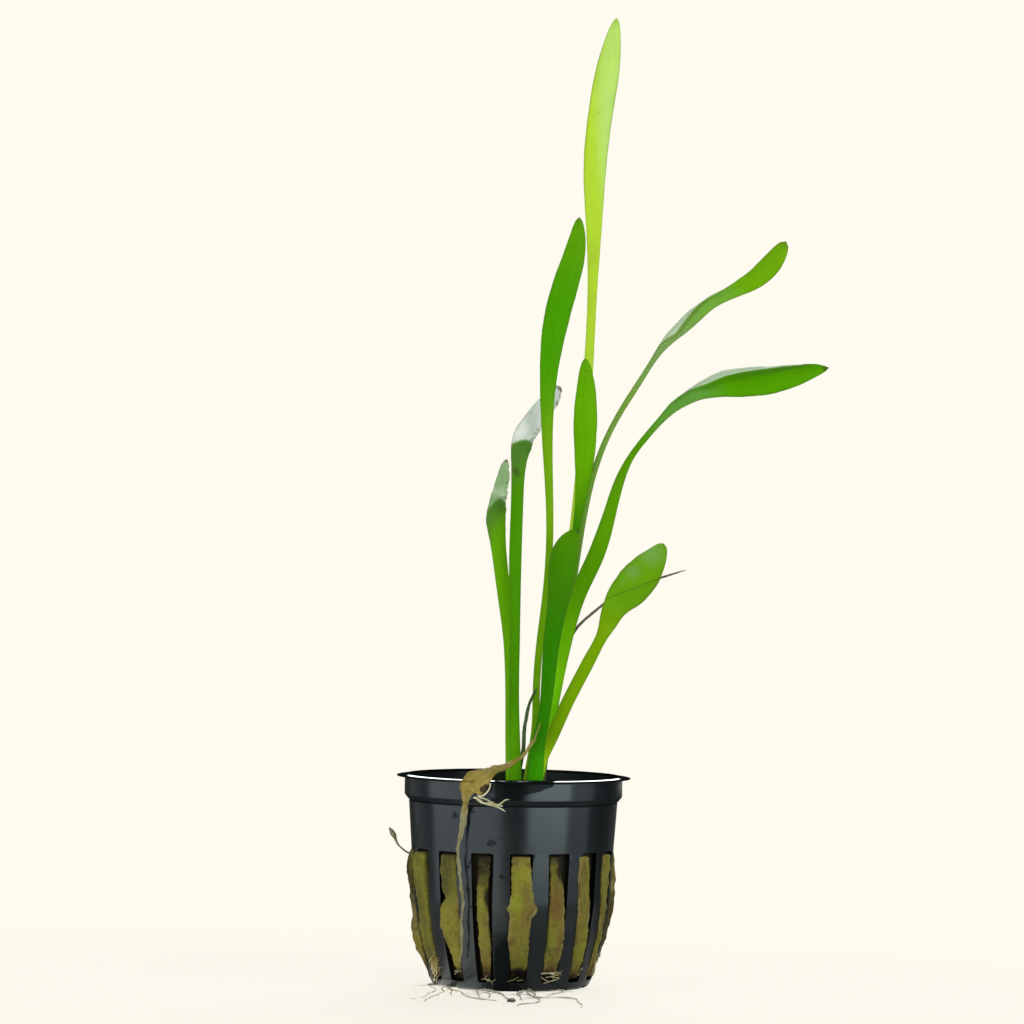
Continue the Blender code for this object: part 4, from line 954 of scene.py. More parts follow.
def wool_finish(look):
    """Matted mineral fibre, olive with algae, ochre where it is dry, brown at its foot and its
    edges, with painted shade where it is sunk and where it lies in shade."""
    f = Finish("rock_wool_fibre")
    place = f.place()
    px, py, pz = f.split(place)
    bulge, tone_and_shade, rust, rim = (f.stored(key) for key in ("bulge", "tone_and_shade", "rust", "rim"))
    drawn = f.join(px, py, pz * 0.4)
    big = f.noise(drawn, 190.0, 3.0, 0.55)
    middle = f.noise(drawn, 560.0, 4.0, 0.62, 0.8)
    fine = f.noise(place, 2400.0, 3.0, 0.65, 1.2)
    foot = (pz * TO_MM + (big - 0.5) * 6.0).eased(*WOOL_FOOT)
    side = (rim + rust.least(0.0) * 0.5 + (middle - 0.5) * 1.2).eased(0.55, 0.95)
    colour = f.paint(look.wool_ochre,
                     ((big - rust.least(0.0) * 0.2).eased(0.40, 0.62), look.wool_olive),
                     ((middle + tone_and_shade * 0.2).eased(0.50, 0.70) * 0.6, look.wool_algae),
                     (tone_and_shade.eased(0.0, 1.0) * 0.7, look.wool_bright),
                     # painted shade where the darker places are sunk and shaded; elsewhere its own darker
                     # colour
                     (tone_and_shade.eased(0.0, -1.0) * 0.92, look.wool_tone_and_shade),
                     (middle.eased(0.48, 0.34) * 0.45, look.wool_tone_and_shade),
                     ((rust + (middle - 0.5) * 0.8).eased(0.15, 0.9) * 0.75, look.wool_rust),
                     (foot * 0.8, look.wool_brown),
                     (side * big.eased(0.46, 0.56) * 0.3, look.wool_brown),
                     (side * big.eased(0.52, 0.44) * 0.35, look.wool_pale),
                     (fine.eased(0.50, 0.80) * 0.24, look.wool_pale),
                     (fine.eased(0.48, 0.26) * 0.42, look.wool_dark),
                     # painted shade where the wool is sunk behind the ribs and in its dents
                     (bulge.eased(0.25, -0.6) * 0.96, look.wool_dark))
    normal = f.bump(middle * 0.4 + fine * 0.6, 0.8, 0.25)
    return f.close(f.skin(Base_Color=colour, Roughness=0.88 + (middle - 0.5) * 0.15, Normal=normal,
                          Specular_IOR_Level=0.25))


def root_finish(name, pale, brown, roughness=0.6):
    """Root or stem skin between two colours given as linear values, with darker specks."""
    f = Finish(name)
    place = f.place()
    stretch = f.noise(place, 260.0, 3.0, 0.6)
    fine = f.noise(place, 3200.0)
    speck = tuple(c * 0.5 for c in brown)
    colour = f.paint(pale, (stretch.eased(0.38, 0.64), brown), (fine.eased(0.55, 0.75) * 0.4, speck))
    normal = f.bump(fine, 0.5, 0.05)
    return f.close(f.skin(Base_Color=colour, Roughness=roughness + (fine - 0.5) * 0.2, Normal=normal))


def thin_skin(name):
    """One of the skins of thin pieces, from its row in their table."""
    pale, brown, roughness = THIN_SKINS[name]
    return root_finish(name, screen(*pale), screen(*brown), roughness)


def crown_finish(look):
    """Fleshy stem base: green above, cream towards the wool, ribbed by old leaf scars."""
    f = Finish("crown_tissue")
    place = f.place()
    _, _, z = f.split(place)
    scar = f.noise(f.join(0.0, 0.0, z * 900.0), 1.0)
    patch = f.noise(place, 500.0, 3.0, 0.6)
    colour = f.paint(look.crown_cream,
                     ((z * TO_MM).eased(*CROWN_GREENING), look.crown_green),
                     (patch.eased(0.5, 0.75) * 0.5, look.crown_brown))
    normal = f.bump(scar * 0.6 + patch * 0.4, 0.5, 0.2)
    return f.close(f.skin(Base_Color=colour, Roughness=0.5 + (patch - 0.5) * 0.2, Normal=normal))


def floor_finish(look):
    """Pale floor that takes soft shadows and fades out into the backdrop colour. What shines in
    the pot is a dimmer floor that glows with painted light and shade: lightest to the left, dark behind and
    just in front of the pot."""
    f = Finish("studio_floor")
    x, y, _ = f.split(f.place())
    away = (x * x + y * y).do("SQRT")
    speck = f.noise(f.place(), 30.0)
    lit = f.skin(Base_Color=f.blend(speck * 0.2, look.floor, tuple(c * 0.97 for c in look.floor)),
                 Roughness=0.95, IOR=1.2)
    both = f.mix(look.floor_share, lit, f.glow(look.backdrop, look.floor_glow))
    card = f.skin(Base_Color=(0.02, 0.02, 0.02), Roughness=0.95)
    heading, depth = (axis / away.most(0.001) for axis in (x, y))
    level = (heading.eased(0.05, -0.25) * 0.66 + 0.19) * (1.0 - heading.eased(-0.90, -0.975) * 0.8)
    level = level * depth.eased(0.45, 0.2)
    # painted shade: the glowing floor is darker just in front of the pot, as seen in the pot's shine
    shaded = abs(heading + 0.08).eased(0.42, 0.18) * away.eased(0.075, 0.05) * 0.8
    dim = f.mix(level * (1.0 - shaded), card, f.glow(look.backdrop, look.floor_glow * 1.9))
    seen = Field(f, f.node("ShaderNodeLightPath").outputs["Is Camera Ray"])
    clear = f.node("ShaderNodeBsdfTransparent").outputs[0]
    return f.close(f.mix(away.eased(*FLOOR_FADE), f.mix(seen, dim, both), clear))


# Sizes and colours that a user may change

def a_size(name, about, default):
    return bpy.props.FloatProperty(name=name, description=about, default=default, min=0.0,
                                   subtype="DISTANCE", unit="LENGTH", precision=5)


def a_share(name, about, default):
    return bpy.props.FloatProperty(name=name, description=about, default=default, min=0.0, max=1.0,
                                   subtype="FACTOR")


def a_brightness(name, about, default):
    return bpy.props.FloatProperty(name=name, description=about, default=default, min=0.0)


def a_count(name, about, default, least=0):
    return bpy.props.IntProperty(name=name, description=about, default=default, min=least)


def a_colour(name, about, default):
    return bpy.props.FloatVectorProperty(name=name, description=about, default=default, size=3,
                                         min=0.0, max=1.0, subtype="COLOR")


class SAGITTARIA_PG_pot(bpy.types.PropertyGroup):
    height: a_size("Height", "Height of the pot", 0.0487)
    flange_radius: a_size("Flange radius", "Outer radius of the thin flange", 0.027)
    flange_thickness: a_size("Flange thickness", "Thickness of the flange", 0.0006)
    collar_radius: a_size("Collar radius", "Outer radius of the collar under the flange", 0.0251)
    wall: a_size("Wall", "Thickness of the pot's wall", WALL * MM)
    edge: a_size("Edge", "Radius of the moulded edges", 0.00012)
    plastic: a_colour("Plastic", "Colour of the plastic", (0.004, 0.006, 0.007))
    plastic_dust: a_colour("Dust", "Colour of the dust film", (0.012, 0.016, 0.018))
    plastic_dull: a_colour("Dull", "Colour of the dull places", (0.005, 0.007, 0.007))
    # painted sheen: the flat colour that stands in for the slanted foot's shine
    plastic_bevel_sheen: a_colour("Bevel", "Colour of the collar's slanted foot", (0.014, 0.017, 0.019))
    plastic_sheen: a_colour("Sheen", "Tint of the plastic's shine", (0.84, 0.96, 1.0))
    plastic_roughness: a_share("Roughness", "Roughness of the plastic", 0.21)


class SAGITTARIA_PG_wool(bpy.types.PropertyGroup):
    bulge: a_size("Bulge", "How far the wool stands out of the slots", 0.0006)
    strands: a_count("Strands", "Loose fibres on the wool", 520)
    wool_olive: a_colour("Olive", "Colour of the damp wool", screen(116, 114, 36))
    wool_ochre: a_colour("Ochre", "Colour of the dry wool", screen(116, 100, 44))
    wool_algae: a_colour("Algae", "Colour of the algae", screen(98, 106, 28))
    wool_pale: a_colour("Pale", "Colour of the pale fibres", screen(158, 150, 98))
    # painted shade: the colour of the sunk wool, also laid on as fine dark specks
    wool_dark: a_colour("Dark", "Colour of the hollows", screen(22, 19, 9))
    wool_bright: a_colour("Bright", "Colour of the greenest wool", screen(138, 138, 26))
    # used for painted shade in sunk and shaded wool and for its darker blotches
    wool_tone_and_shade: a_colour("Shade", "Colour of the darkest wool", screen(44, 46, 22))
    wool_rust: a_colour("Rust", "Colour of the rust-brown places", screen(102, 70, 34))
    wool_brown: a_colour("Brown", "Colour of the wool's edges and foot", screen(104, 74, 34))


class SAGITTARIA_PG_leaf(bpy.types.PropertyGroup):
    veins: a_count("Veins", "Parallel veins across a blade", 9, least=1)
    vein_strength: a_share("Vein strength", "How clearly the veins show", 0.20)
    mottle: a_share("Mottle", "How uneven the green is", 0.26)
    roughness: a_share("Roughness", "Roughness of the leaf skin", 0.36)
    sheen: a_colour("Sheen", "Tint of the leaves' shine", (0.45, 0.75, 0.22))
    # painted sheen: the colour of the greyer stretches, sheets and highlights on the leaves
    leaf_painted_sheen: a_colour("Leaf haze", "Colour of a leaf's greyer stretches", screen(150, 180, 132))
    leaf_edge: a_colour("Leaf edge", "Colour of a leaf's dry rim", screen(98, 120, 40))
    leaf_tip: a_colour("Leaf tip", "Colour of a leaf's tip", screen(156, 206, 30))
    # also the colour of the needle leaf's painted shadow line
    leaf_spot_and_shadow: a_colour("Leaf spot", "Colour of the dark spots", screen(66, 84, 24))
    # painted highlight: the bright line along the strip of painted sheen
    leaf_painted_glint: a_colour("Leaf glint", "Colour of the bright line along the strip", (0.9, 0.95, 0.88))
    # painted shade: the colour of a blade just below its bend
    leaf_bend_shade: a_colour("Leaf bruise", "Colour of a leaf below its bend", screen(84, 122, 52))
    # painted sheen: the colour of the pale strip along a leaf's upper edge
    leaf_sheen_strip: a_colour("Leaf strip", "Colour of the pale strip along a leaf", screen(206, 226, 192))
    # also laid on the sheet's top as a painted highlight
    dead_pale: a_colour("Dead pale", "Palest colour of the dead leaf", screen(196, 180, 116))
    dead_gold: a_colour("Dead gold", "Golden patches of the dead leaf", screen(160, 140, 38))
    dead_tan: a_colour("Dead tan", "Main colour of the dead leaf", screen(138, 126, 52))
    # also laid in the creases as painted shade
    dead_brown: a_colour("Dead brown", "Brown of the dead leaf's folds", screen(100, 68, 28))
    dead_hole: a_colour("Dead hole", "Colour of the dead leaf's rotten places", screen(44, 26, 8))
    strand_pale: a_colour("Strand pale", "Palest colour of the dead leaf's strand", screen(134, 132, 100))
    strand_dark: a_colour("Strand dark", "Darkest colour of the dead leaf's strand", screen(88, 86, 58))
    crown_green: a_colour("Crown green", "Colour of the crown's top", screen(130, 150, 50))
    crown_cream: a_colour("Crown cream", "Colour of the crown's base", screen(196, 180, 120))
    crown_brown: a_colour("Crown brown", "Colour of the crown's patches", screen(110, 90, 40))


class SAGITTARIA_PG_root(bpy.types.PropertyGroup):
    thickness: a_size("Thickness", "Diameter of a root where it leaves the pot", 0.0005)
    hairs: a_count("Hairs", "Fine side roots near the foot", 46)
    pale: a_colour("Pale", "Colour of young root", screen(238, 236, 222))
    brown: a_colour("Brown", "Colour of old root", screen(190, 184, 158))


class SAGITTARIA_PG_stage(bpy.types.PropertyGroup):
    backdrop: a_colour("Backdrop", "Colour behind the plant", screen(255, 251, 239))
    floor: a_colour("Floor", "Colour of the floor", (0.80, 0.78, 0.72))
    floor_glow: a_share("Floor glow", "How much the floor gives off of the backdrop colour", 1.0)
    floor_share: a_share("Floor share", "Share of that light in the floor", 0.80)
    ambient: a_share("Ambient", "Light from all around", 0.07)
    right_light: a_brightness("Right light", "Brightness of the right softbox", 3.1)
    left_light: a_brightness("Left light", "Brightness of the left softbox", 1.6)
    back_light: a_brightness("Back light", "Brightness of the back softbox", 4.7)
    top_light: a_brightness("Top light", "Brightness of the top softbox", 0.8)


def give(piece, material, replaces=()):
    """Rides a finished piece on the root body, with its material and the nodes that it
    stands for."""
    piece.data.materials.append(material)
    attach(piece, "root")
    if replaces:
        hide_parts(*replaces)


# Net pot

def pot_rows(pot):
    """The pot's section as radius and height, from under the middle, up the outer wall, over
    the flange, down the inner wall and back to the middle; and the rows that slots,
    notches and root openings begin and end at."""
    wall = pot.wall / MM
    collar, flange, top = pot.collar_radius / MM, pot.flange_radius / MM, pot.height / MM
    under = top - pot.flange_thickness / MM
    levels = np.concatenate([SLOT_BOTTOM + np.array([0, 0.08, 0.2, 0.4, 0.7]),
                             np.linspace(3.4, 30.4, 36), SLOT_TOP - np.array([0.7, 0.4, 0.2, 0.08, 0])])
    rows = [(0.0, 0.0), (3.0, 0.0), (5.9, 0.0), (6.0, 0.1), (6.0, 0.9), (8.0, 0.9)]
    marks = {"hole_under": (len(rows), len(rows) + 2)}
    rows += [(9.5, 0.9), (11.5, 0.9), (13.6, 0.9), (14.6, 0.9)]
    marks["notch"] = (len(rows), len(rows) + 6)
    rows += [(14.6, 0.75), (14.6, 0.1), (14.7, 0.0), (17.1, 0.0), (17.35, 0.08), (18.0, 0.5), (18.15, 0.75)]
    rows += [(18.5, 1.4)]
    marks["slot_outer"] = (len(rows), len(rows) + len(levels) - 1)
    rows += [(float(wall_radius(z)), float(z)) for z in levels]
    rows += [(float(wall_radius(z)), z) for z in (34.0, 37.0, 40.0, 42.3)]
    rows += [(24.0, 42.5), (24.0, 42.8), (24.3, 42.95), (24.95, 43.8), (collar, 44.0),
             (collar, 46.0), (collar, under - 0.25), (collar + 0.25, under), (flange - 0.15, under),
             (flange, under + 0.10), (flange - 0.10, under + 0.20), (collar + 0.20, top - 0.32),
             (collar - 0.45, top - 0.02),
             (collar - wall + 0.08, top), (collar - wall, top - 0.08), (collar - wall, 46.0),
             (collar - wall, 44.5), (24.1 - wall, 42.8)]
    rows += [(float(wall_radius(z)) - wall, z) for z in (40.0, 37.0, 34.0)]
    marks["slot_inner"] = (len(rows), len(rows) + len(levels) - 1)
    rows += [(float(wall_radius(z)) - wall, float(z)) for z in levels[::-1]]
    rows += [(17.6, 1.9), (15.0, 1.9)]
    marks["hole_top"] = (len(rows), len(rows) + 2)
    rows += [(13.6, 1.9), (11.5, 1.9), (9.5, 1.9), (5.0, 1.9), (0.0, 1.9)]
    return np.array(rows), marks


def bunched(half, radius, first, turn, cells, between):
    """The azimuth of each column: some cells cross an opening of that half width evenly, and the
    others cross the wall evenly up to the next opening."""
    spread = np.degrees(np.arcsin(np.clip(half / radius, 0, 1)))
    sector, part = np.divmod(np.arange(POT_COLUMNS), cells + between)
    middle = first + sector * turn
    return np.where(part <= cells, middle - spread + 2 * spread * part / cells,
                    middle + spread + (turn - 2 * spread) * (part - cells) / between)


def pot_angles(rows, marks):
    """The angle of each column on each row: columns bunch at the sides of slots and notches,
    and a slot's side comes in along a quarter circle at its ends, which rounds its corners."""
    radius, height = rows[:, 0:1], rows[:, 1:2]
    level = np.clip(height, SLOT_BOTTOM, SLOT_TOP)
    end = np.clip(np.minimum(level - SLOT_BOTTOM, SLOT_TOP - level) / SLOT_CORNER, 0, 1)
    half = slot_half(level) - SLOT_CORNER * (1 - np.sqrt(np.clip(1 - (1 - end) ** 2, 0, 1)))
    wall = bunched(half, np.maximum(radius, LEAST_WALL_RADIUS), FIRST_SLOT, SLOT_TURN, SLOT_CELLS, RIB_CELLS)
    index = np.arange(len(rows))[:, None]
    opening = np.zeros_like(index, bool)
    for key in ("hole_under", "hole_top"):
        opening |= (index >= marks[key][0]) & (index <= marks[key][1])
    foot = bunched(np.where(opening, OPENING_HALF, NOTCH_HALF), np.maximum(radius, LEAST_FOOT_RADIUS),
                   FIRST_NOTCH, NOTCH_TURN, NOTCH_CELLS, BETWEEN_CELLS)
    low = (index < marks["slot_outer"][0] - 1) | (index > marks["slot_inner"][1])
    return np.radians(np.where(low, foot, wall))


def build_pot(pot):
    """A surface of revolution with cells left out for the slots, notches and root openings,
    and faces across the wall's thickness around each opening."""
    rows, marks = pot_rows(pot)
    angles = pot_angles(rows, marks)
    count, columns = angles.shape

    def at(row, column):
        return row * columns + column % columns

    def quads(*corners):
        return np.stack(corners, -1).tolist()

    def bridge(one, two, run):
        return quads(at(one, run), at(one, run + 1), at(two, run + 1), at(two, run))

    col = np.arange(columns)
    in_slot, in_notch = col % SLOT_SHARE < SLOT_CELLS, col % NOTCH_SHARE < NOTCH_CELLS
    keep = np.ones((count - 1, columns), bool)
    for key, mask in (("slot_outer", in_slot), ("slot_inner", in_slot), ("hole_under", in_notch),
                      ("hole_top", in_notch), ("notch", in_notch)):
        begin, end = marks[key]
        keep[begin:end] &= ~mask
    keep[0] = keep[-1] = False
    faces = ring_faces(count, columns).reshape(count - 1, columns, 4)[keep].tolist()
    for outer, inner, share, cells in (("slot_outer", "slot_inner", SLOT_SHARE, SLOT_CELLS),
                                       ("hole_under", "hole_top", NOTCH_SHARE, NOTCH_CELLS)):
        outer_begin, outer_end = marks[outer]
        inner_begin, inner_end = marks[inner]
        row = np.arange(outer_begin, outer_end)
        partner = inner_end - (row - outer_begin)
        for first in range(0, columns, share):
            for side in (first, first + cells):
                faces += quads(at(row, side), at(row + 1, side), at(partner - 1, side), at(partner, side))
            run = np.arange(first, first + cells)
            faces += bridge(outer_begin, inner_end, run) + bridge(outer_end, inner_begin, run)
    begin, end = marks["notch"]
    for first in range(0, columns, NOTCH_SHARE):
        for side in (first, first + NOTCH_CELLS):
            faces.append([at(row, side) for row in range(begin, end + 1)])
        faces += bridge(begin, end, np.arange(first, first + NOTCH_CELLS))
    points = on_circle(rows[:, 0:1], angles, rows[:, 1:2]).reshape(-1, 3)
    faces += fan_faces(len(points), columns, columns, forward=False)
    faces += fan_faces(len(points) + 1, (count - 2) * columns, columns)
    points = np.concatenate([points, [[0, 0, rows[0, 1]], [0, 0, rows[-1, 1]]]])
    used = np.unique(np.concatenate([np.ravel(face) for face in faces]))
    renumber = np.zeros(len(points), int)
    renumber[used] = np.arange(len(used))
    faces = [renumber[face].tolist() for face in faces]
    piece = put_mesh("net_pot_shell", points[used], faces)
    soften = piece.modifiers.new("moulded edges", "BEVEL")
    soften.width = pot.edge
    soften.segments = 2
    soften.limit_method = "ANGLE"
    soften.angle_limit = math.radians(SHARP_ANGLE)
    soften.use_clamp_overlap = True
    even = piece.modifiers.new("even shading", "WEIGHTED_NORMAL")
    even.keep_sharp = True
    return piece


class SAGITTARIA_OT_net_pot(bpy.types.Operator):
    """Builds the slotted net pot with its flange, collar and foot."""
    bl_idname = "sagittaria.net_pot"
    bl_label = "Net pot"

    def execute(self, context):
        pot = context.scene.sagittaria_pot
        give(build_pot(pot), pot_finish(pot), ("net_pot",))
        return {"FINISHED"}


# Rock wool

def wool_edges(z):
    """Left and right edge of the wool at each slot and height, as shares of the slot's half
    width, and how far it stands out: tables for the slots that the photo shows, and noise
    for the ones behind."""
    left, right, out = (np.empty((len(z), SLOTS)) for _ in range(3))
    for slot in range(SLOTS):
        if slot in WOOL_EDGES:
            heights, *columns = np.array(WOOL_EDGES[slot], float).T
            left[:, slot], right[:, slot], out[:, slot] = (np.interp(z, heights, c) for c in columns)
        else:
            spot = np.stack([0 * z + slot * 5.0, 0 * z, z], -1)
            left[:, slot] = -0.98 - 0.20 * lumps(spot, 4.0, 21)
            right[:, slot] = 0.98 + 0.20 * lumps(spot, 4.0, 23)
            out[:, slot] = 0.35 + 0.5 * lumps(spot, 7.0, 25) - 1.2 * ease(z, 5.0, 2.5)
    return left, right, out


def wool_surface(wool):
    """The plug's radius at each azimuth and height: sunk behind a rib; at a slot it rises
    steeply at the wool's edges and stands out of the wall as far as the tables say."""
    z = np.concatenate([np.linspace(2.25, 31.6, WOOL_ROWS), np.linspace(31.9, 44.0, 8)])
    slot, part = np.divmod(np.arange(SLOTS * WOOL_SHARE), WOOL_SHARE)
    in_slot = part < WOOL_SLOT_COLUMNS
    level = np.clip(z, SLOT_BOTTOM, SLOT_TOP)
    left, right, out = wool_edges(level)
    line = np.stack([0 * level, 0 * level, level], -1)[:, None] + np.arange(SLOTS)[:, None] * [9.0, 0, 0]
    left = left + 0.07 * lumps(line, 1.1, 31) + 0.05 * lumps(line, 0.5, 33)
    right = right + 0.07 * lumps(line, 1.1, 35) + 0.05 * lumps(line, 0.5, 37)
    outer = wall_radius(z)[:, None]
    degrees = np.degrees(slot_half(level)[:, None] / outer)
    middle = FIRST_SLOT + slot * SLOT_TURN
    start = middle + (left * degrees)[:, slot]
    stop = middle + (right * degrees)[:, slot]
    following = np.roll(left * degrees, -1, axis=1)[:, slot] + middle + SLOT_TURN
    across = np.sin(np.clip(part / (WOOL_SLOT_COLUMNS - 1) * 2 - 1, -1, 1) * math.pi / 2)
    behind = stop + (following - stop) * (part - WOOL_SLOT_COLUMNS + 1) / (WOOL_RIB_COLUMNS + 1)
    azimuth = np.where(in_slot, (start + stop) / 2 + (stop - start) / 2 * across, behind)
    a = np.radians(azimuth)
    spot = on_circle(outer, a, z[:, None])
    side = np.abs(np.where(in_slot, across, 1.0))
    window = ease(1 - side, 0.0, 0.15) * (ease(z, 2.2, 3.0) * (1 - ease(z, 30.9, 31.7)))[:, None]
    raised = wool.bulge / MM * out[:, slot] / 0.6 + 0.22 * lumps(spot, 3.2, 3) + 0.20 * lumps(spot, 1.5, 5)
    raised = raised + 0.10 * lumps(spot, 0.8, 7) + 0.05 * lumps(spot, 0.42, 9)
    raised = with_patches(raised, WOOL_DENTS, azimuth, z[:, None])
    spilt = np.maximum(raised, 0.12)
    beyond = np.abs(azimuth - middle) > degrees
    raised = np.clip(np.where(beyond, spilt, raised), -2.6, 2.2)
    inside = outer - WALL - WOOL_GAP
    radius = inside + window * (WALL + WOOL_GAP + raised)
    values = {"bulge": window * (1 + raised) - 1, "rim": np.where(in_slot, side, 0.0) * np.ones_like(radius)}
    for key, table, seed in (("tone_and_shade", WOOL_TONES_AND_SHADE, 15), ("rust", WOOL_RUSTS, 17)):
        values[key] = with_patches(0.35 * lumps(spot, 5.0, seed), table, azimuth, z[:, None])
    return z, a, radius, values


def build_wool(wool):
    """The plug's side as rings, closed below by smaller rings at its lowest level and above by
    rings that rise towards the middle as 1 - s^2, with lumps."""
    z, a, radius, values = wool_surface(wool)
    columns = radius.shape[1]
    side = on_circle(radius, a, z[:, None])
    shrink = np.linspace(0.97, 0.03, WOOL_TOP_RINGS)
    rim = side[-1]
    top = np.stack([rim * [s, s, 1] + [0, 0, 0.9 * (1 - s * s)] for s in shrink])
    top[..., 2] += 0.28 * lumps(top, 3.2, 11) + 0.16 * lumps(top, 1.1, 13)
    under = np.stack([side[0] * [s, s, 1] for s in (0.05, 0.5, 0.9)])
    rings = np.concatenate([under, side, top])
    ends = {"bulge": (-0.6, 0.2)}
    shades = {}
    for key, value in values.items():
        low, high = ends.get(key, (0.0, 0.0))
        shades[key] = np.concatenate([np.full((len(under), columns), low), value,
                                      np.full((len(top), columns), high)])
    return loft("rock_wool_block", rings, values=shades)


def build_strands(wool):
    """Loose fibres: short arcs that leave the wool in a slot and lie back along it."""
    random = np.random.default_rng(5)
    count = wool.strands
    z, a, radius, _ = wool_surface(wool)
    row = random.integers(8, WOOL_ROWS - 10, count)
    part = random.integers(2, WOOL_SLOT_COLUMNS - 2, count)
    col = random.integers(0, SLOTS, count) * WOOL_SHARE + part
    base_r = radius[row, col]
    azimuth = a[row, col]
    height = z[row]
    steps = np.linspace(0, 1, 7)
    lean = random.uniform(-1, 1, count)
    long = random.uniform(0.8, 2.8, count)
    rise = np.where(random.random(count) < 0.5, 1, -1) * random.uniform(0.2, 1.0, count)
    lift = random.uniform(0.03, 0.30, count)
    s = steps[None]
    along = (lean * long * 0.45)[:, None] * (s - 0.5) + 0.15 * np.sin(s * 5 + lean[:, None] * 9)
    up = (rise * long)[:, None] * (s - 0.5)
    out = base_r[:, None] - 0.12 + lift[:, None] * np.sin(s * math.pi)
    turn = azimuth[:, None] + along / base_r[:, None]
    high = np.clip(height[:, None] + up, 2.4, 31.2)
    paths = on_circle(out, turn, high)
    radii = random.uniform(0.015, 0.04, count)[:, None] * (0.35 + 0.65 * np.sin(s * math.pi))
    return many_tubes("rock_wool_fibres", paths, radii, 4)


def build_rootlets():
    """Fine pale roots that cross in the foot of some slots: arcs on the wall's outside."""
    random = np.random.default_rng(8)
    nests = [nest for nest in WOOL_ROOTLETS for _ in range(nest[2])]
    columns = (np.array(column, float)[:, None] for column in zip(*nests))
    azimuth, height, _, wide, tall, long, lie = columns
    count = len(nests)
    s = np.linspace(0, 1, 9)[None]
    heading = np.radians(lie) + random.normal(0.0, 0.30, (count, 1))
    bend = random.uniform(-0.9, 0.9, (count, 1))
    size = long * random.uniform(0.4, 1.2, (count, 1))
    along = size * (s - 0.5)
    aside = wide * random.uniform(-1, 1, (count, 1)) + along * np.cos(heading + bend * s)
    high = height + tall * random.uniform(-1, 1, (count, 1)) + along * np.sin(heading + bend * s)
    high = np.maximum(high, 0.9)
    reach = wall_radius(high) + 0.30 + 0.35 * np.sin(s * math.pi + heading)
    turn = np.radians(azimuth) + aside / reach
    paths = on_circle(reach, turn, high)
    radii = random.uniform(0.05, 0.12, (count, 1)) * (1 - 0.6 * s)
    return many_tubes("slot_rootlets", paths, radii, 6)


class SAGITTARIA_OT_rock_wool(bpy.types.Operator):
    """Builds the rock wool that fills the pot, with its loose fibres."""
    bl_idname = "sagittaria.rock_wool"
    bl_label = "Rock wool"

    def execute(self, context):
        wool = context.scene.sagittaria_wool
        give(build_wool(wool), wool_finish(wool), ("rockwool_plug",))
        fibre = root_finish("rock_wool_strand", tuple(wool.wool_pale), tuple(wool.wool_olive), 0.7)
        give(build_strands(wool), fibre)
        give(build_rootlets(), thin_skin("slot_rootlet_skin"))
        return {"FINISHED"}


# Crowns

def build_crown(name, x, y, radius):
    """An egg whose radius swells and shrinks a little with height, like stacked leaf bases."""
    up = np.linspace(-1, 1, 44)[1:-1]
    around = np.linspace(0, 2 * math.pi, 48, endpoint=False)
    wide = np.sqrt(1 - up ** 2)[:, None] * radius * (1 + 0.035 * np.sin(up * 22)[:, None])
    wide = wide * (1 + 0.05 * np.cos(5 * around + 3 * up[:, None]))
    rings = np.stack([x + wide * np.cos(around), y + wide * np.sin(around),
                      CROWN_MIDDLE + CROWN_HALF * up[:, None] * np.ones(len(around))], -1)
    return loft(name + "_base", rings)


class SAGITTARIA_OT_crowns(bpy.types.Operator):
    """Builds the short stem bases that the leaves rise from."""
    bl_idname = "sagittaria.crowns"
    bl_label = "Crowns"

    def execute(self, context):
        skin = crown_finish(context.scene.sagittaria_leaf)
        for name, (x, y, radius) in CROWNS.items():
            give(build_crown(name, x, y, radius * CROWN_FIT), skin, (name,))
        return {"FINISHED"}


# Leaves

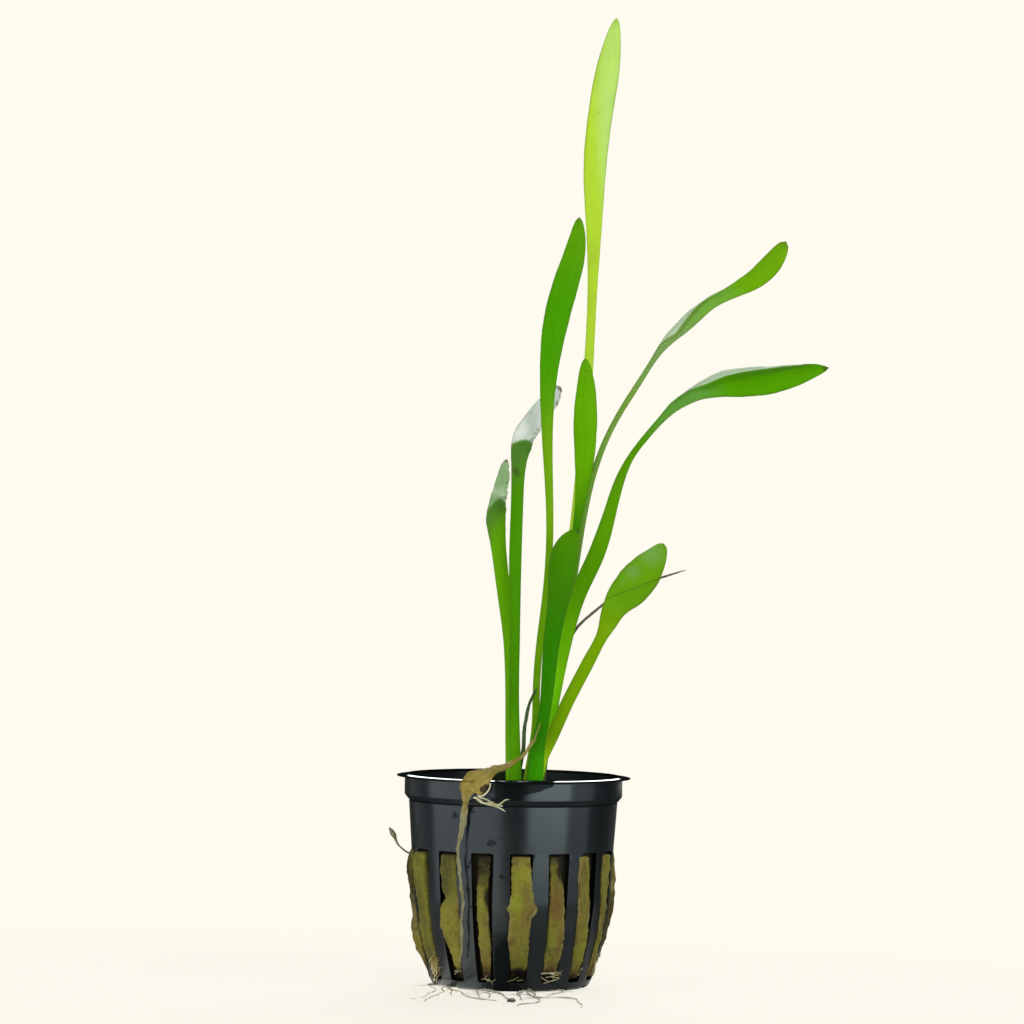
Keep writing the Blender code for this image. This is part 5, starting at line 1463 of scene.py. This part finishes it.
def leaf_rings(shape, steps=170, around=36, crumple=0.0, seed=0.0):
    """Flattened rings along the leaf's rows. Each ring is an ellipse as wide as the leaf and
    as thick as its tissue, bent to an arc by the curl; its edges ripple with the length, and
    crumple moves it up and down and sideways by lumps of noise."""
    rows, tip_from, blunt, stem, blade, stem_end, blade_full, ripple = shape
    line = smooth_rows(rows, steps)
    middle, width = line[:, :3], line[:, 3]
    turn, curl = np.radians(line[:, 4]), np.radians(line[:, 5])
    curl = np.where(np.abs(curl) < 0.01, 0.01, curl)[:, None]
    along = unit(np.gradient(middle, axis=0))
    part = np.linspace(0, 1, steps)
    tip = np.clip((part - tip_from) / (1 - tip_from), 0, 1)
    width = np.maximum(width * (1 - tip ** 2) ** blunt, 0.12)[:, None]
    thick = np.minimum(stem + (blade - stem) * ease(part, stem_end, blade_full), width[:, 0] * 0.9)[:, None]
    thick = thick * (1 - 0.5 * ease(part, 0.9, 1.0))[:, None]
    across = unit(np.cross((0.0, 1.0, 0.0), along))
    face = np.cross(along, across)
    side = across * np.cos(turn)[:, None] + face * np.sin(turn)[:, None]
    lift = np.cross(along, side)
    angle = np.linspace(0, 2 * math.pi, around, endpoint=False)[None]
    v = np.cos(angle)
    on_blade = ease(part, stem_end, blade_full)[:, None]
    swell = 1 - 0.35 * on_blade * np.exp(-(v / 0.10) ** 2) * (np.sin(angle) > 0)
    keel = 1 + 0.9 * on_blade * np.exp(-(v / 0.16) ** 2) * (np.sin(angle) < 0)
    half = thick / 2 * np.sin(angle) * swell * keel
    length_mm = np.concatenate(([0.0], np.cumsum(np.linalg.norm(np.diff(middle, axis=0), axis=1))))[:, None]
    wave = ripple * np.abs(v) ** 3 * on_blade * (np.sin(length_mm * 0.9 + 1.7 * v + seed)
                                                 + 0.6 * np.sin(length_mm * 2.3 + seed * 2 - v))
    bow = curl * v
    radius = width / 2 / curl - half - wave
    rings = (middle[:, None] + side[:, None] * (radius * np.sin(bow))[..., None]
             + lift[:, None] * (width / 2 / curl - radius * np.cos(bow))[..., None])
    if crumple:
        flat = middle[:, None] + side[:, None] * v[..., None] * width[..., None] / 2
        rings = rings + lift[:, None] * (crumple * lumps(flat, 2.0, seed))[..., None]
        slanted = middle[:, None] + v[..., None]
        rings = rings + side[:, None] * (crumple * 0.6 * lumps(slanted, 1.3, seed + 3))[..., None]
    uv = np.stack([(0.5 + 0.5 * v) * np.ones((steps, 1)), part[:, None] * np.ones((1, around))], -1)
    foot = rings[0] - along[0] * np.array([[[2.6]], [[1.2]]])
    return np.concatenate([foot, rings]), np.concatenate([uv[:1], uv[:1], uv])


class SAGITTARIA_OT_leaves(bpy.types.Operator):
    """Builds the strap-shaped leaves, each with its own greens."""
    bl_idname = "sagittaria.leaves"
    bl_label = "Leaves"

    def execute(self, context):
        look = context.scene.sagittaria_leaf
        for seed, (name, shape) in enumerate(LEAF_SHAPES.items()):
            rings, uv = leaf_rings(shape, seed=float(seed))
            skin = leaf_finish(name + "_skin", look, **LEAF_LOOKS[name])
            give(loft(name + "_blade", rings, uv), skin, (name,))
        return {"FINISHED"}


class SAGITTARIA_OT_dead_leaf(bpy.types.Operator):
    """Builds the dead leaf that hangs over the rim."""
    bl_idname = "sagittaria.dead_leaf"
    bl_label = "Dead leaf"

    def execute(self, context):
        skin = dead_finish(context.scene.sagittaria_leaf)
        rings, uv = leaf_rings(DEAD_SHAPE, steps=320, around=44, crumple=DEAD_CRUMPLE, seed=4.0)
        give(loft("dead_leaf_sheet", rings, uv), skin, ("dead_leaf",))
        return {"FINISHED"}


class SAGITTARIA_OT_young_growth(bpy.types.Operator):
    """Builds the needle leaf, the young shoot and the budding sprig at the left slot."""
    bl_idname = "sagittaria.young_growth"
    bl_label = "Young growth"

    def execute(self, context):
        for name, (start, end, points), skin in (("leaf_needle", NEEDLE, "needle_leaf_skin"),
                                                 ("shoot", SHOOT, "shoot_skin"),
                                                 ("side_sprig", SPRIG, "sprig_skin")):
            path = smooth_rows(points, 90)
            part = np.linspace(0, 1, 90)
            radius = (start + (end - start) * part) / 2
            if name == "side_sprig":
                radius = SPRIG_RADIUS + BUD_SWELL * np.exp(-((part - BUD_PLACE) / BUD_LENGTH) ** 2)
            radius = radius * (1 - part ** 14) ** 0.5 + 0.03
            rings, uv = tube_rings(path, radius, 14, 0.05, 2.0)
            give(loft(name + "_stem", rings, uv), thin_skin(skin), (name,))
        return {"FINISHED"}


# Roots

def polar(azimuth, radius, sideways):
    """x and y at a radius and an azimuth in degrees, moved sideways across that direction."""
    a = math.radians(azimuth)
    return (radius * math.sin(a) + sideways * math.cos(a), -radius * math.cos(a) + sideways * math.sin(a))


def root_path(azimuth, aside, floor):
    """A line that comes down in a notch of the pot's foot, then runs along the floor's points."""
    inside = [(*polar(azimuth, 12.2, aside), 1.7), (*polar(azimuth, 12.5, aside), 0.9),
              (*polar(azimuth, 13.4, aside), 0.4)]
    outside = [(*polar(azimuth, 14.6, aside), ROOT_HEIGHT), (*polar(azimuth, 18.6, aside), ROOT_HEIGHT)]
    outside += [(x, y, ROOT_HEIGHT) for x, y in floor]
    return np.concatenate([smooth_rows(inside + outside[:1], 12)[:-1], smooth_rows(outside, ROOT_STEPS)])


def build_side_roots(paths, root):
    """Fine side roots: short arcs that leave a root near the foot and lie on the floor."""
    random = np.random.default_rng(11)
    names = sorted(paths)
    count = root.hairs
    line = np.stack([paths[names[k]][12:60] for k in random.integers(0, len(names), count)])
    start = line[np.arange(count), random.integers(2, 44, count)]
    heading = random.uniform(-1.2, 1.2, count) - math.pi / 2
    long = random.uniform(2.0, 7.0, count)
    bend = random.uniform(-0.9, 0.9, count)
    s = np.linspace(0, 1, 12)[None]
    angle = heading[:, None] + bend[:, None] * s
    step = long[:, None] / 11
    none = np.zeros((count, 1))
    x = start[:, 0:1] + np.concatenate([none, np.cumsum(np.cos(angle[:, 1:]) * step, 1)], 1)
    y = start[:, 1:2] + np.concatenate([none, np.cumsum(np.sin(angle[:, 1:]) * step, 1)], 1)
    z = np.broadcast_to(0.12 + 0.1 * (1 - s), x.shape)
    radii = np.broadcast_to(0.07 * (1 - 0.6 * s), x.shape)
    return many_tubes("side_roots", np.stack([x, y, z], -1), radii, 5)


def build_tangle():
    """A small tangle at a root's end: arcs that wind around a low mound."""
    random = np.random.default_rng(13)
    x, y = FLOOR_ROOTS["root_6"][2][-1]
    count = TANGLE_HAIRS
    s = np.linspace(0, 1, 9)[None]
    turn = random.uniform(0, 2 * math.pi, (count, 1)) + random.uniform(1.0, 2.6, (count, 1)) * s
    rise = random.uniform(-0.9, 0.9, (count, 1)) + 0.5 * s
    size = TANGLE_RADIUS * random.uniform(0.4, 1.0, (count, 1))
    reach = size * np.cos(rise)
    paths = np.stack([x + reach * np.cos(turn), y + reach * 1.8 * np.sin(turn),
                      0.12 + 0.5 * size * (1 + np.sin(rise))], -1)
    return many_tubes("root_tangle", paths, 0.08 * (1 - 0.5 * s) * np.ones((count, 1)), 5)


class SAGITTARIA_OT_roots(bpy.types.Operator):
    """Builds the roots on the floor with their fine side roots, and the rootlets at the rim."""
    bl_idname = "sagittaria.roots"
    bl_label = "Roots"

    def execute(self, context):
        root = context.scene.sagittaria_root
        skin = root_finish("root_skin", tuple(root.pale), tuple(root.brown))
        half = root.thickness / MM / 2
        paths = {}
        for name, (azimuth, aside, floor) in FLOOR_ROOTS.items():
            path = root_path(azimuth, aside, floor)
            paths[name] = path
            part = np.linspace(0, 1, len(path))
            radius = half * (1 - 0.45 * part) * (1 - part ** 20) ** 0.5 + 0.02
            wander = 0.35 * lumps(path + [0, 0, len(paths) * 7.0], 6.0, 41) * ease(part, 0.2, 0.4)
            path = path + wander[:, None] * [1.0, 0.0, 0.0]
            path[:, 2] = np.maximum(radius + 0.03, path[:, 2])
            rings, uv = tube_rings(path, radius, 12, 0.03, 1.0)
            give(loft(name + "_strand", rings, uv), skin, (name,))
        pale = thin_skin("rim_root_skin")
        for name, points in (*RIM_ROOTS.items(), *RIM_THREADS.items()):
            path = smooth_rows(points, 60)
            part = np.linspace(0, 1, 60)
            radius = RIM_ROOT_RADIUS * (1 - part ** 8) ** 0.5 + 0.02
            rings, uv = tube_rings(path, radius, 10, 0.02, 1.0)
            stands_for = (name,) if name in RIM_ROOTS else ()
            give(loft(name + "_strand", rings, uv), pale, stands_for)
        give(build_side_roots(paths, root), skin)
        give(build_tangle(), thin_skin("root_tangle_skin"))
        return {"FINISHED"}


# Stage

def softbox(name, azimuth, elevation, distance, wide, tall, brightness, tint):
    """An area light aimed at the plant; azimuth is from the front, positive to the right."""
    lamp = bpy.data.lights.new(name, "AREA")
    lamp.shape = "RECTANGLE"
    lamp.size, lamp.size_y = wide, tall
    lamp.energy = brightness * math.pi * wide * tall
    lamp.color = tint
    light = bpy.data.objects.new(name, lamp)
    a, e = math.radians(azimuth), math.radians(elevation)
    light.matrix_world = (Matrix.Translation(AIM) @ Matrix.Rotation(a, 4, "Z")
                          @ Matrix.Rotation(math.pi / 2 - e, 4, "X") @ Matrix.Translation((0, 0, distance)))
    light.visible_camera = False
    bpy.context.scene.collection.objects.link(light)


def build_floor():
    """A flat disc: rings evenly spaced in radius, closed by a fan around their middle."""
    radius = np.linspace(0.0, FLOOR_RADIUS, FLOOR_RINGS + 1)[1:, None]
    around = np.linspace(0, 2 * math.pi, FLOOR_CORNERS, endpoint=False)
    rings = np.stack([radius * np.cos(around), radius * np.sin(around),
                      np.full((FLOOR_RINGS, FLOOR_CORNERS), -FLOOR_DROP)], -1)
    points = np.concatenate([rings.reshape(-1, 3), [[0, 0, -FLOOR_DROP]]])
    faces = ring_faces(FLOOR_RINGS, FLOOR_CORNERS).tolist()
    faces += fan_faces(FLOOR_RINGS * FLOOR_CORNERS, 0, FLOOR_CORNERS)
    return put_mesh("studio_floor", points, faces, turn=False)


def studio_world(stage):
    """A world that the camera sees in the backdrop colour and that gives a faint light all round."""
    world = bpy.data.worlds.new("studio")
    world.use_nodes = True
    tree = world.node_tree
    tree.nodes.clear()
    seen = tree.nodes.new("ShaderNodeBackground")
    seen.inputs[0].default_value = (*stage.backdrop, 1.0)
    around_light = tree.nodes.new("ShaderNodeBackground")
    around_light.inputs[0].default_value = (*AROUND_TINT, 1.0)
    around_light.inputs[1].default_value = stage.ambient
    ray = tree.nodes.new("ShaderNodeLightPath")
    mix = tree.nodes.new("ShaderNodeMixShader")
    out = tree.nodes.new("ShaderNodeOutputWorld")
    tree.links.new(ray.outputs["Is Camera Ray"], mix.inputs[0])
    tree.links.new(around_light.outputs[0], mix.inputs[1])
    tree.links.new(seen.outputs[0], mix.inputs[2])
    tree.links.new(mix.outputs[0], out.inputs[0])
    return world


def studio_camera():
    """A long lens in front of the plant, which looks down a little and is rolled a little."""
    data = bpy.data.cameras.new("camera")
    data.sensor_width = CAMERA_SENSOR
    data.lens = CAMERA_LENS
    data.clip_start = CAMERA_NEAR
    camera = bpy.data.objects.new("camera", data)
    camera.matrix_world = (Matrix.Translation(CAMERA_PLACE)
                           @ Matrix.Rotation(math.radians(90.0 - CAMERA_DOWN), 4, "X")
                           @ Matrix.Rotation(math.radians(CAMERA_ROLL), 4, "Z"))
    bpy.context.scene.collection.objects.link(camera)
    return camera


class SAGITTARIA_OT_stage(bpy.types.Operator):
    """Sets the floor, the backdrop light, the softboxes and the camera."""
    bl_idname = "sagittaria.stage"
    bl_label = "Stage"

    def execute(self, context):
        stage = context.scene.sagittaria_stage
        floor = build_floor()
        floor.data.materials.append(floor_finish(stage))
        context.scene.world = studio_world(stage)
        for name, (azimuth, elevation, distance, wide, tall, light, part, tint) in SOFTBOXES.items():
            softbox(name, azimuth, elevation, distance, wide, tall, getattr(stage, light) * part, tint)
        context.scene.camera = studio_camera()
        context.scene.view_settings.view_transform = "Standard"
        return {"FINISHED"}


OPERATORS = (SAGITTARIA_OT_net_pot, SAGITTARIA_OT_rock_wool, SAGITTARIA_OT_crowns, SAGITTARIA_OT_leaves,
             SAGITTARIA_OT_dead_leaf, SAGITTARIA_OT_young_growth, SAGITTARIA_OT_roots, SAGITTARIA_OT_stage)


class SAGITTARIA_PT_panel(bpy.types.Panel):
    """Lists the plant's pieces and their settings."""
    bl_idname = "SAGITTARIA_PT_panel"
    bl_label = "Potted dwarf sagittaria"
    bl_space_type = "VIEW_3D"
    bl_region_type = "UI"
    bl_category = "Sagittaria"

    def draw(self, context):
        for operator in OPERATORS:
            self.layout.operator(operator.bl_idname)
        for key in GROUPS:
            group = getattr(context.scene, "sagittaria_" + key)
            box = self.layout.box()
            for item in group.bl_rna.properties:
                if item.identifier not in ("rna_type", "name"):
                    box.prop(group, item.identifier)


GROUPS = {"pot": SAGITTARIA_PG_pot, "wool": SAGITTARIA_PG_wool, "leaf": SAGITTARIA_PG_leaf,
          "root": SAGITTARIA_PG_root, "stage": SAGITTARIA_PG_stage}


def register():
    for kind in (*GROUPS.values(), *OPERATORS, SAGITTARIA_PT_panel):
        bpy.utils.register_class(kind)
    for key, kind in GROUPS.items():
        setattr(bpy.types.Scene, "sagittaria_" + key, bpy.props.PointerProperty(type=kind))


def unregister():
    for key in GROUPS:
        delattr(bpy.types.Scene, "sagittaria_" + key)
    for kind in reversed((*GROUPS.values(), *OPERATORS, SAGITTARIA_PT_panel)):
        bpy.utils.unregister_class(kind)


def main():
    register()
    for operator in OPERATORS:
        group, name = operator.bl_idname.split(".")
        getattr(getattr(bpy.ops, group), name)()


if __name__ == "__main__":
    main()
